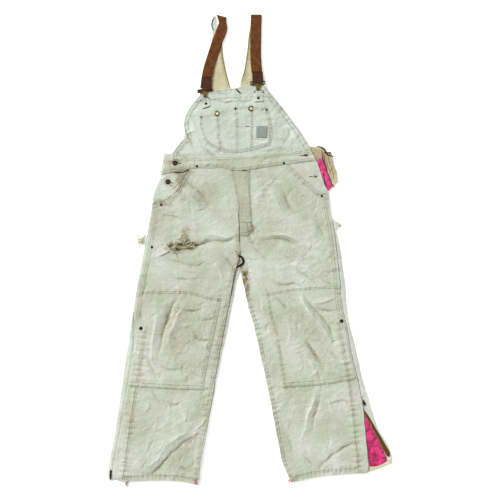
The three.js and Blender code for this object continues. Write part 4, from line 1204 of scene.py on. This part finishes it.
# stations: centre and across vector of each section
def makeRibbon(name, stations, halfWidths, wall, finish, seed):
    columns = webbing["columns"]
    verts, uvs, selvedge = [], [], []
    run = 0.0
    for k, (centre, across, up) in enumerate(stations):
        if k:
            run += (centre - stations[k - 1][0]).length
        for face in (1, -1):
            for c in range(columns):
                share = c / (columns - 1) * 2 - 1
                wave = 0.35 * math.sin(run / 23 + seed) * share + 0.25 * math.sin(run / 9 + seed * 2 + share)
                rim = 1 - 0.45 * max(0, abs(share) - 0.86) / 0.14
                point = centre + across * share * halfWidths[k] + up * (face * wall / 2 * rim + abs(wave))
                verts.append(point * toMetres)
                uvs.append((run * toMetres, share * halfWidths[k] * toMetres))
                outward = share if share > 0 else -share - 0.06
                dark = max(0.0, min(1.0, (outward - 0.86) / 0.08))
                selvedge.append(dark if face > 0 else 0.0)
    faces, ring = [], columns * 2
    for k in range(len(stations) - 1):
        a, b = k * ring, (k + 1) * ring
        for c in range(columns - 1):
            faces.append((a + c, a + c + 1, b + c + 1, b + c))
            faces.append((a + columns + c, b + columns + c, b + columns + c + 1, a + columns + c + 1))
        faces.append((a, b, b + columns, a + columns))
        faces.append((a + columns - 1, a + ring - 1, b + ring - 1, b + columns - 1))
    last = (len(stations) - 1) * ring
    for c in range(columns - 1):
        faces.append((c, columns + c, columns + c + 1, c + 1))
        faces.append((last + c, last + c + 1, last + columns + c + 1, last + columns + c))
    mesh = bpy.data.meshes.new(name)
    mesh.from_pydata([tuple(v) for v in verts], [], faces)
    shape = bmesh.new()
    shape.from_mesh(mesh)
    bmesh.ops.recalc_face_normals(shape, faces=shape.faces)
    shape.to_mesh(mesh)
    shape.free()
    mesh.polygons.foreach_set("use_smooth", [True] * len(mesh.polygons))
    corners = np.zeros(len(mesh.loops), int)
    mesh.loops.foreach_get("vertex_index", corners)
    mesh.uv_layers.new(name="grain").data.foreach_set("uv", np.array(uvs)[corners].ravel())
    mesh.attributes.new("selvedge", "FLOAT", "POINT").data.foreach_set("value", selvedge)
    mesh.materials.append(finish)
    piece = bpy.data.objects.new(name, mesh)
    bpy.context.scene.collection.objects.link(piece)
    return piece, run


for number, (name, sizes) in enumerate(straps.items()):
    wall = webbing["wall"]
    climb = [(-down, z + wall / 2) for down, z in sizes["lower"]]
    side = [(-sizes["short"], 0.8), (-8, 0.8), (-3, 1.3), (-0.8, 3.0), (-3, 4.8), (-8, 5.35)] + climb
    path = smoothLine(side, 3.0)
    centre = smoothLine(sizes["centre"], 5.0)
    stations, halves = [], []
    for down, z in path:
        y = sizes["top"] + down
        x = float(np.interp(y, [p[1] for p in reversed(centre)], [p[0] for p in reversed(centre)]))
        share = -down / sizes["reach"]
        slope = sizes["topSlope"] * (1 - share) + sizes["endSlope"] * share
        stations.append((Vector((x, y, z)), Vector((1, slope, 0))))
        pinched = sizes["pinch"] * math.exp(-(((y - sizes["pinchAt"]) / 20) ** 2))
        halves.append(webbing["width"] / 2 * (1 - pinched))
    framed = []
    for k, (point, across) in enumerate(stations):
        ahead = stations[min(k + 1, len(stations) - 1)][0] - stations[max(k - 1, 0)][0]
        framed.append((point, across, ahead.cross(across).normalized() * -1))
    piece, length = makeRibbon(name, framed, halves, wall, webbingBrown, number * 1.7)
    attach(piece, "root")
    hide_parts(sizes["node"])
    print(name, "length", round(length), "mm")

for name, node in (("strapEndRight", "strap_end_right"), ("strapEndLeft", "strap_end_left")):
    top = wrinkled(9.8, 12, 0.4, 45)
    makeSheet(name, node, webbingDark, top, 1.4, atLevel(8.4), spacing=2.4, front=False)

# ---- the surface that stitches and metal sit on

cover = {"verts": [], "faces": []}
for piece in sheetPieces.values():
    start = len(cover["verts"])
    cover["verts"] += [v.co.copy() for v in piece.data.vertices]
    cover["faces"] += [tuple(start + i for i in f.vertices) for f in piece.data.polygons if f.normal.z > 0.2]
surface = BVHTree.FromPolygons(cover["verts"], cover["faces"])


def surfaceAt(x, y):  # height of the topmost cloth at a place, in mm, and its normal
    hit = surface.ray_cast(Vector((x * toMetres, y * toMetres, 0.1)), Vector((0, 0, -1)))
    return (hit[0].z / toMetres, hit[1]) if hit[0] else (None, None)


print("surface ready:", len(cover["faces"]), "faces")

# ---- stitching: one small stitch shape, repeated along every row

# thicker than the real 0.8 mm so that it shows
stitch = {"pitch": 5.4, "length": 3.7, "width": 1.2, "height": 0.7}


def addStitches(points, verts, faces, skip=0.0, seed=1, size=stitch):
    rng = random.Random(seed)
    line = smoothLine(points, 4)
    run, nextAt = 0.0, size["pitch"] / 2
    for (x0, y0), (x1, y1) in zip(line, line[1:]):
        length = math.hypot(x1 - x0, y1 - y0)
        while length > 1e-6 and nextAt <= run + length:
            share = (nextAt - run) / length
            nextAt += size["pitch"] * rng.uniform(0.92, 1.08)
            if rng.random() < skip:
                continue
            x, y = x0 + (x1 - x0) * share, y0 + (y1 - y0) * share
            z, normal = surfaceAt(x, y)
            if z is None or z < 3:
                continue
            along = Vector((x1 - x0, y1 - y0, 0)).normalized()
            along = (along - normal * along.dot(normal)).normalized()
            across = normal.cross(along)
            middle = Vector((x, y, z))
            start = len(verts)
            half, wide, high = size["length"] / 2, size["width"] / 2, size["height"]
            for end in (-1, 1):
                verts.append((middle + along * end * half - normal * high * 0.3) * toMetres)
                for side, lift in ((-1, 0.0), (0, high), (1, 0.0)):
                    corner = middle + along * end * half * 0.55 + across * side * wide + normal * lift
                    verts.append(corner * toMetres)
            faces += [tuple(start + i for i in f) for f in (
                (0, 1, 2), (0, 2, 3), (0, 3, 1), (4, 6, 5), (4, 7, 6), (4, 5, 7),
                (1, 5, 6, 2), (2, 6, 7, 3), (3, 7, 5, 1),
            )]
        run += length


def joinedMesh(name, verts, faces, finish):
    mesh = bpy.data.meshes.new(name)
    mesh.from_pydata([tuple(v) for v in verts], [], faces)
    shape = bmesh.new()
    shape.from_mesh(mesh)
    bmesh.ops.recalc_face_normals(shape, faces=shape.faces)
    shape.to_mesh(mesh)
    shape.free()
    mesh.polygons.foreach_set("use_smooth", [True] * len(mesh.polygons))
    mesh.materials.append(finish)
    piece = bpy.data.objects.new(name, mesh)
    bpy.context.scene.collection.objects.link(piece)
    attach(piece, "root")
    return piece


darkRows = {"waistSeam", "kneeTopRight", "kneeFootRight", "kneeTopLeft", "kneeFootLeft", "pocketFoot",
            "flyEdge"}
for group, wanted, finish in (("paleStitching", False, threadOlive), ("soiledStitching", True, threadDark)):
    verts, faces = [], []
    for number, (name, rows, *_) in enumerate(seams):
        if (name in darkRows) != wanted:
            continue
        for row in rows:
            addStitches(offsetLine(rounded[name], row), verts, faces, 0.06, number * 7 + int(row))
    joinedMesh(group, verts, faces, finish)
    print(group, len(verts) // 8, "stitches")

# ---- pressed metal: rivets, studs, buttons and snaps


def editFaces(thing, wanted):
    bpy.context.view_layer.objects.active = thing
    bpy.ops.object.mode_set(mode="EDIT")
    bpy.ops.mesh.select_mode(type="FACE")
    bpy.ops.mesh.select_all(action="DESELECT")
    bpy.ops.object.mode_set(mode="OBJECT")
    for face in thing.data.polygons:
        face.select = wanted(face)
    bpy.ops.object.mode_set(mode="EDIT")


def pressedModel(name, sizes, finishes):
    bpy.ops.object.select_all(action="DESELECT")
    thick = sizes["thick"] * toMetres
    bpy.ops.mesh.primitive_cylinder_add(vertices=28, radius=sizes["radius"] * toMetres, depth=thick,
                                        location=(0, 0, thick / 2))
    model = bpy.context.object
    model.name = name
    bpy.ops.object.transform_apply(location=True, rotation=True, scale=True)
    for finish in finishes:
        model.data.materials.append(finish)
    editFaces(model, lambda face: face.normal.z > 0.9)
    for inset, rise, *middle in sizes["steps"]:
        bpy.ops.mesh.inset(thickness=inset * toMetres, depth=0)
        bpy.ops.transform.translate(value=(0, 0, rise * toMetres))
        if middle:
            bpy.context.object.active_material_index = middle[0]
            bpy.ops.object.material_slot_assign()
    bpy.ops.object.mode_set(mode="OBJECT")
    bpy.ops.object.modifier_add(type="BEVEL")
    model.modifiers[-1].width = sizes["edge"] * toMetres
    model.modifiers[-1].segments = 2
    model.modifiers[-1].limit_method = "ANGLE"
    bpy.ops.object.modifier_apply(modifier=model.modifiers[-1].name)
    bpy.ops.object.shade_smooth_by_angle(angle=math.radians(50))
    return model


pressed = {
    "rivet": {"radius": 4.6, "thick": 0.7, "edge": 0.2,
              "steps": [(1.0, 0.0), (0.4, 0.7), (1.5, 0.5), (0.8, -0.2)]},
    "stud": {"radius": 9.6, "thick": 0.7, "edge": 0.2,
             "steps": [(2.2, 0.0, 1), (0.5, 1.2, 1), (2.6, 0.4, 2), (0.5, -0.5, 2), (1.0, 0.4, 2)]},
    "button": {"radius": 8.6, "thick": 1.4, "edge": 0.3,
               "steps": [(0.7, 0.7), (1.3, 0.2), (0.9, -0.9), (1.6, 0.3), (1.6, 0.4, 1)]},
    "snap": {"radius": 6.2, "thick": 0.9, "edge": 0.2,
             "steps": [(1.2, 0.9), (1.3, 0.2), (1.0, -0.7), (1.0, 0.2)]},
}
models = {
    "rivet": pressedModel("rivetModel", pressed["rivet"], [rivetDark]),
    "washed": pressedModel("washedModel", pressed["rivet"], [rivetWashed]),
    # the stud's outer ring keeps the dark first finish: a painted shadow round the stud
    "stud": pressedModel("studModel", pressed["stud"], [slideDark, brass, nickelPale]),
    # the last step takes the second finish, a painted glint in the button's middle
    "button": pressedModel("buttonModel", pressed["button"], [buttonRust, buttonGlint]),
    "snap": pressedModel("snapModel", pressed["snap"], [buttonRust]),
}
metalPlaces = {
    "rivet": ["pocket_rivet_right", "pocket_rivet_middle", "pocket_rivet_left", "tab_rivet_right",
              "tab_rivet_left",
              "waist_rivet_right", "waist_rivet_left", "slash_rivet_right", "slash_rivet_left",
              "side_rivet_right"],
    "washed": ["patch_rivet_right"],
    "stud": ["pocket_stud_right", "pocket_stud_left"],
    "button": ["waist_button_right", "hip_button_right"],
    "snap": ["leg_snap_right", "leg_snap_left"],
}


def spoken(node):  # zip_slider_left becomes zipSliderLeft
    first, *others = node.split("_")
    return first + "".join(word.capitalize() for word in others)


def placeCopy(model, name, x, y, z, normal=None, turn=0.0):
    piece = model.copy()
    piece.data = model.data.copy()
    piece.name = name
    lean = Matrix.Identity(4)
    if normal:
        lean = Vector((0, 0, 1)).rotation_difference(normal).to_matrix().to_4x4()
    piece.data.transform(Matrix.Translation(Vector((x, y, z)) * toMetres) @ lean @ Matrix.Rotation(turn, 4,
                                                                                                   "Z"))
    bpy.context.scene.collection.objects.link(piece)
    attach(piece, "root")
    return piece


for kind, places in metalPlaces.items():
    for number, node in enumerate(places):
        low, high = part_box(node)
        x, y = (low.x + high.x) * 500, (low.y + high.y) * 500
        z, normal = surfaceAt(x, y)
        normal = (normal + Vector((0, 0, 2))).normalized()
        piece = placeCopy(models[kind], spoken(node), x, y, z - 0.3, normal, number * 0.7)
        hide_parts(node)
for node in ("waist_button_left", "hip_button_left"):
    low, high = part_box(node)
    piece = placeCopy(models["snap"], spoken(node), (low.x + high.x) * 500, (low.y + high.y) * 500, 0.0)
    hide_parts(node)
for model in models.values():
    bpy.data.objects.remove(model)
print("rivets, studs, buttons and snaps placed")

# ---- buckles: a slide, a hook and a wire ring on each strap


def finishSolid(thing, wall, edge):
    bpy.ops.object.mode_set(mode="OBJECT")
    bpy.ops.object.modifier_add(type="SOLIDIFY")
    thing.modifiers[-1].thickness = wall * toMetres
    thing.modifiers[-1].offset = 0
    bpy.ops.object.modifier_apply(modifier=thing.modifiers[-1].name)
    bpy.ops.object.modifier_add(type="BEVEL")
    thing.modifiers[-1].width = edge * toMetres
    thing.modifiers[-1].segments = 3
    bpy.ops.object.modifier_apply(modifier=thing.modifiers[-1].name)
    bpy.ops.object.shade_smooth_by_angle(angle=math.radians(50))


def slideModel(sizes):
    bpy.ops.object.select_all(action="DESELECT")
    bpy.ops.mesh.primitive_plane_add(size=1)
    slide = bpy.context.object
    slide.scale = (sizes["width"] * toMetres, sizes["height"] * toMetres, 1)
    bpy.ops.object.transform_apply(scale=True)
    editFaces(slide, lambda face: True)
    bpy.ops.mesh.bevel(offset=2.6 * toMetres, segments=3, affect="VERTICES")
    bpy.ops.object.mode_set(mode="OBJECT")
    editFaces(slide, lambda face: True)
    bpy.ops.mesh.inset(thickness=sizes["rim"] * toMetres, depth=0)
    bpy.ops.mesh.delete(type="FACE")
    finishSolid(slide, sizes["wall"], 0.6)
    slide.data.materials.append(slideDark)
    return slide


def hookModel(sizes):
    bpy.ops.object.select_all(action="DESELECT")
    bpy.ops.mesh.primitive_plane_add(size=1)
    hook = bpy.context.object
    hook.scale = (sizes["width"] * toMetres, 4 * toMetres, 1)
    hook.location = (0, 8 * toMetres, 0)
    bpy.ops.object.transform_apply(location=True, scale=True)
    bpy.ops.object.mode_set(mode="EDIT")
    bpy.ops.mesh.select_mode(type="EDGE")
    bpy.ops.mesh.select_all(action="DESELECT")
    bpy.ops.object.mode_set(mode="OBJECT")
    low = min(v.co.y for v in hook.data.vertices)
    for edge in hook.data.edges:
        edge.select = all(abs(hook.data.vertices[i].co.y - low) < 1e-5 for i in edge.vertices)
    bpy.ops.object.mode_set(mode="EDIT")
    for down, narrow, rise in sizes["steps"]:
        move = (0, -down * toMetres, rise * toMetres)
        bpy.ops.mesh.extrude_edges_move(TRANSFORM_OT_translate={"value": move})
        bpy.ops.transform.resize(value=(narrow, 1, 1))
    finishSolid(hook, sizes["wall"], 0.5)
    hook.data.materials.append(brassOlive)
    return hook


def ringModel(sizes):
    bpy.ops.object.select_all(action="DESELECT")
    bpy.ops.mesh.primitive_torus_add(major_radius=sizes["half"] * toMetres,
                                     minor_radius=sizes["wire"] * toMetres,
                                     major_segments=48, minor_segments=10)
    ring = bpy.context.object
    bpy.ops.object.mode_set(mode="EDIT")
    bpy.ops.mesh.select_all(action="SELECT")
    bpy.ops.mesh.bisect(plane_co=(0, -4 * toMetres, 0), plane_no=(0, 1, 0), use_fill=True, clear_inner=True)
    bpy.ops.object.mode_set(mode="OBJECT")
    for vert in ring.data.vertices:  # the arch is pressed flatter than a round
        if vert.co.y > 0:
            vert.co.y *= sizes["flatten"]
    bpy.ops.object.shade_smooth_by_angle(angle=math.radians(60))
    ring.data.materials.append(nickelDark)
    return ring


buckle = {
    "slide": {"width": 51, "height": 13, "rim": 3.2, "wall": 2.4},
    "hook": {"width": 18, "wall": 1.8,
             "steps": [(3, 0.8, 0.3), (3, 0.75, 0.2), (8, 1.0, 0.0), (2, 0.6, -0.6)]},
    "ring": {"half": 15.5, "wire": 1.25, "flatten": 0.34},
}
buckleParts = [
    (slideModel(buckle["slide"]), "slide", (("right", 0.17), ("left", 0.05)), "brass"),
    (hookModel(buckle["hook"]), "hook", (("right", 0.12), ("left", 0.03)), "brass"),
    (ringModel(buckle["ring"]), "ring", (("right", 0.28), ("left", 0.03)), "nickel"),
]
for model, kind, sides, slot in buckleParts:
    for side, turn in sides:
        node = kind + "_" + side
        low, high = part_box(node)
        middle = (low + high) * 500
        y = middle.y - (2.0 if kind == "ring" else 0)
        piece = placeCopy(model, spoken(node), middle.x, y, middle.z, None, turn)
        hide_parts(node)
    bpy.data.objects.remove(model)
for node in ("zip_slider_left", "zip_end_right"):
    nodes[node].data.materials.clear()
    nodes[node].data.materials.append(zipMetal)
print("buckles made")

# ---- marks of making and use: slits, buttonholes, the rip, the torn crotch and frayed yarns


def addTube(points, wide, high, verts, faces, lift=0.0, sides=6, onCloth=True, level=0.0):
    # a soft flattened roll along a line, tapering to its ends; on the cloth, or at its own level
    line = smoothLine(points, max(1.5, min(4.0, wide)))
    if len(line) < 3:
        return
    first = len(verts)
    total = len(line) - 1
    for k, (x, y) in enumerate(line):
        x0, y0 = line[max(k - 1, 0)]
        x1, y1 = line[min(k + 1, total)]
        along = Vector((x1 - x0, y1 - y0, 0)).normalized()
        z = surfaceAt(x, y)[0] if onCloth else level
        if z is None:
            z = 0.5
        share = k / total
        taper = max(0.12, min(1, 4.5 * share, 4.5 * (1 - share)) ** 0.5)
        for n in range(sides):
            turn = 2 * math.pi * n / sides
            offset = Vector((-along.y, along.x, 0)) * math.cos(turn) * wide / 2 * taper
            verts.append((Vector((x, y, z + lift + high / 2 * math.sin(turn) * taper)) + offset) * toMetres)
    for k in range(total):
        a, b = first + k * sides, first + (k + 1) * sides
        faces += [(a + n, a + (n + 1) % sides, b + (n + 1) % sides, b + n) for n in range(sides)]
    faces.append(tuple(first + n for n in range(sides)))
    faces.append(tuple(first + total * sides + n for n in reversed(range(sides))))


def addYarns(centre, spread, count, length, seed, verts, faces, turn=0.0, fan=180.0, thick=0.9, curl=0.8):
    rng = random.Random(seed)
    for _ in range(count):
        a, r = rng.uniform(0, 2 * math.pi), math.sqrt(rng.random())
        c, s = math.cos(math.radians(turn)), math.sin(math.radians(turn))
        px, py = spread[0] * r * math.cos(a), spread[1] * r * math.sin(a)
        x, y = centre[0] + px * c - py * s, centre[1] + px * s + py * c
        heading = math.radians(turn + rng.uniform(-fan, fan))
        points = [(x, y)]
        for _ in range(5):
            heading += rng.uniform(-curl, curl)
            step = length * rng.uniform(0.12, 0.28)
            x, y = x + math.cos(heading) * step, y + math.sin(heading) * step
            points.append((x, y))
        addTube(points, thick, thick, verts, faces, lift=rng.uniform(0.3, 1.3), sides=4)


# painted shade in dark lenses: in openings, buttonholes and the rip, under the strap tabs and along the slash
# pockets: line, width, height of the shaded lens
slits = [
    ([(170, 318.5), (178, 319), (186, 318.6)], 2.2, 0.7),
    ([(183, 318.6), (190, 319.4), (198, 318.8)], 7.5, 1.1),
    ([(201, 247.6), (208, 248), (216, 247.8)], 2.2, 0.7),
    ([(218, 247.6), (223, 248), (229, 247.4)], 4.6, 0.9),
    ([(-246, 293), (-239, 292.6), (-231, 291.6)], 2.2, 0.6),
    ([(-270, 228), (-264, 226.6), (-258, 225)], 2.2, 0.6),
    ([(-46, 546), (-38, 538), (-29, 530)], 5.0, 0.9), ([(-15, 418), (-8, 418.6), (2, 418)], 2.2, 0.6),
    ([(-161, 477.6), (-148, 480.4), (-132, 486)], 2.6, 0.6), ([(15, 501), (32, 502), (49, 504)], 2.0, 0.6),
    ([(-256, 260), (-228, 262), (-204, 272)], 2.2, 0.6),
    ([(-331, 152), (-322, 158), (-318, 163)], 2.0, 0.6),
    ([(-46, -62), (-53, -95), (-60, -134), (-64, -158)], 2.2, 0.6),
    ([(-206, 272), (-226, 238), (-238, 209), (-262, 184), (-282, 178)], 1.1, 0.4),
    ([(-224, 256), (-238, 231), (-250, 214), (-276, 199)], 0.9, 0.4),
    ([(-256, 261), (-226, 263), (-202, 273)], 3.6, 0.8),
    ([(-234, 18), (-224, 14), (-212, 14)], 7.5, 1.6), ([(-258, 2), (-250, 1), (-242, 3)], 6.5, 1.4),
    ([(-280, 14), (-262, 12), (-246, 17), (-232, 20)], 2.2, 1.0),
    ([(-252, -3), (-236, -2), (-222, 1), (-200, 5)], 2.2, 1.0),
    ([(-266, 6), (-262, 2), (-258, 0)], 4.0, 0.8), ([(-228, 4), (-218, 5), (-206, 8)], 3.0, 0.8),
    ([(-193, 9), (-180, 12), (-166, 17), (-150, 22)], 3.0, 0.7),
    ([(-304, -24), (-284, -14), (-268, -6)], 1.8, 0.5),
    ([(-252, -6), (-248, -18), (-244, -28)], 1.5, 0.5), ([(-38, 130), (-34, 60), (-34, 20)], 1.8, 0.5),
    ([(-36, 268), (-20, 267), (-6, 268)], 2.4, 0.6), ([(246, 188), (238, 186), (224, 190)], 1.2, 0.4),
]
verts, faces = [], []
for points, wide, high in slits:
    addTube(points, wide, high, verts, faces, lift=0.15)
addTube([(-41, -22), (-29, -24), (-20.5, -37), (-24, -49), (-35, -56), (-46, -64)], 7.0, 1.8, verts, faces,
        onCloth=False, level=12.4, sides=8)
joinedMesh("slitShadows", verts, faces, shadowSlit)

verts, faces = [], []  # worked edges of the buttonholes, and bar tacks
smallStitch = {"pitch": 1.9, "length": 2.6, "width": 1.3, "height": 0.8}
workedEdges = [
    [(183, 322.6), (190, 323.4), (198, 321.6), (199, 318.6), (197, 315.6), (190, 314.6), (183, 315.6)],
    [(217, 251.6), (222, 253.4), (229, 252), (231, 248), (229, 244), (222, 242.6), (217, 244.6)],
    [(-33, 92), (-18, 93), (-2, 92), (7, 93)], [(-30, 56), (-16, 57), (-6, 60), (4, 70)],
    [(-8, 90), (-6, 76), (-6, 62)], [(4, 92), (8, 78), (8, 66)],
    [(-306, 156), (-298, 160), (-292, 164)], [(240, 186), (250, 190), (258, 190)],
]
for number, points in enumerate(workedEdges):
    addStitches(points, verts, faces, 0.0, 300 + number, smallStitch)
joinedMesh("workedEdges", verts, faces, threadDark)

yarnSets = [  # centre, spread, count, length, turn, fan, thickness, seed, curl
    (threadCream, "creamYarns", [
        ((-224, 9), (30, 7), 34, 24, 4, 12, 1.3, 501, 0.3),
        ((-262, 8), (12, 7), 12, 20, 12, 40, 1.2, 502, 0.5),
        ((-236, 30), (16, 8), 12, 18, 20, 30, 1.1, 503, 0.4),
        ((-34, -38), (3, 6), 8, 9, 90, 60, 1.5, 504, 0.5),
        ((-364, 34), (7, 14), 34, 18, 210, 60, 1.0, 505, 0.8),
        ((-372, 22), (3, 5), 12, 22, 215, 30, 0.8, 506, 0.8),
        ((-417, -793), (9, 4), 20, 9, 270, 90, 1.0, 507, 0.8),
        ((304, 84), (6, 8), 16, 12, 0, 180, 1.0, 509, 0.8),
        ((-330, 190), (5, 40), 14, 10, 180, 50, 0.9, 512, 0.8),
    ]),
    (threadBrown, "brownYarns", [
        ((-230, 10), (34, 8), 34, 24, 4, 16, 1.3, 521, 0.35),
        ((-266, 9), (12, 8), 18, 18, 20, 80, 1.2, 522, 0.7),
        ((-232, 30), (20, 9), 16, 18, 12, 30, 1.1, 523, 0.4),
        ((-416, -796), (8, 3), 16, 8, 270, 80, 0.9, 525, 0.8),
    ]),
    (threadDark, "oliveYarns", [
        ((-228, 9), (36, 8), 22, 26, 4, 14, 1.2, 531, 0.3),
        ((-262, 6), (12, 8), 12, 18, -10, 80, 1.1, 532, 0.7),
        ((-364, 30), (7, 12), 8, 14, 200, 60, 0.8, 527, 0.8),
    ]),
    (satinPink, "pinkTufts", [
        ((-184, -790), (4, 4), 10, 8, 90, 180, 1.4, 541, 0.8),
        ((139, -789), (3, 4), 10, 8, 90, 180, 1.4, 542, 0.8),
    ]),
]
for finish, name, sets in yarnSets:
    verts, faces = [], []
    for centre, spread, count, length, turn, fan, thick, seed, curl in sets:
        addYarns(centre, spread, count, length, seed, verts, faces, turn, fan, thick, curl)
    joinedMesh(name, verts, faces, finish)
print("slits, worked edges and yarns made")

# the webbing's fold round each slide, the tab's fold through each ring, and seams of the open hip
verts, faces = [], []
addTube([(-175, 537), (-152, 541.5), (-129, 545)], 11.5, 4.6, verts, faces, onCloth=False, level=10.6,
        sides=10)
addTube([(5, 569), (28, 570), (51, 571.5)], 8.5, 4.2, verts, faces, onCloth=False, level=10.8, sides=10)
addTube([(-112, 797), (-122, 788), (-128, 772), (-128, 758), (-121, 744)], 3.0, 1.8, verts, faces,
        onCloth=False, level=4.8)
addTube([(-160, 586.5), (-143, 586), (-126, 584.6)], 4.2, 1.6, verts, faces, onCloth=False, level=10.4,
        sides=8)
addTube([(5, 604), (25, 604), (45, 603)], 4.2, 1.6, verts, faces, onCloth=False, level=10.4, sides=8)
joinedMesh("webbingFolds", verts, faces, webbingDark)
verts, faces = [], []
addTube([(-163, 508.5), (-150, 512), (-137, 516)], 5.0, 2.4, verts, faces, lift=0.9, sides=10)
addTube([(17, 533), (32, 533.5), (46, 534)], 5.0, 2.4, verts, faces, lift=0.9, sides=10)
joinedMesh("tabFolds", verts, faces, duckBib)
verts, faces = [], []  # the open hip flap's folded and bound edges and its seam, drawn dark: partly painted shadow under the folded top edge, in the corner crease and along the pink lining's lower left
for points, wide in (
    # painted shadow under the flap's folded top edge
    ([(226, 350), (242, 347), (254, 341), (262, 328), (279, 331)], 8.0),
    ([(262, 322), (274, 320), (287, 315)], 5.0),
    ([(246.5, 342), (248, 316), (259, 279), (274, 240), (279.5, 226)], 3.2),
    # painted shade in the corner crease
    ([(276, 225), (290, 212)], 3.6),
    # the first of these: painted shade along the pink lining's lower left
    ([(250, 262), (254, 244), (262, 206)], 3.6), ([(262, 300), (266, 284), (275, 262)], 1.6),
    ([(268, 318), (272, 296), (284, 262), (286, 240)], 1.4), ([(252, 330), (256, 300), (266, 268)], 1.6),
):
    addTube(points, wide, 1.0, verts, faces, lift=0.3, sides=8)
for points, wide in (  # brown streaks at the torn crotch
    ([(-29, -76), (-20, -84), (-10, -96), (-4, -108)], 2.2), ([(-26, -70), (-18, -80), (-14, -92)], 1.6),
    ([(-48, -2), (-40, -12), (-30, -18)], 1.8), ([(-50, -12), (-42, -18), (-34, -20)], 1.4),
):
    addTube(points, wide, 0.9, verts, faces, lift=0.2)
joinedMesh("flapFolds", verts, faces, foldBrownAndShadow)
verts, faces = [], []  # bound inner edges of the shoulder arms
for name in ("armRight", "armLeft"):
    addTube(offsetLine(lines[name], -3.2), 5.4, 1.0, verts, faces, lift=0.2, sides=8)
joinedMesh("armBindings", verts, faces, bindingTan)
verts, faces = [], []  # painted shadow: dark lines under the tabs' lower edges, and along the plain patch's lower and right edges
low, high = (corner * 1000 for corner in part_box("label_patch"))
for points, wide in (
    ([(-160, 478), (-148, 481), (-133, 486)], 3.0), ([(15, 501), (32, 502), (49, 504)], 2.4),
    ([(low.x + 1, low.y + 1.5), (high.x - 1, low.y + 1.5)], 1.8),
    ([(high.x - 1, low.y + 2), (high.x - 1, high.y - 1)], 1.2),
):
    addTube(points, wide, 1.0, verts, faces, lift=0.3)
joinedMesh("paintedShadowEdges", verts, faces, threadDark)

sizes = {"cad": [list(c) for c in cadBox], "visual": [list(c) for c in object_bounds()]}
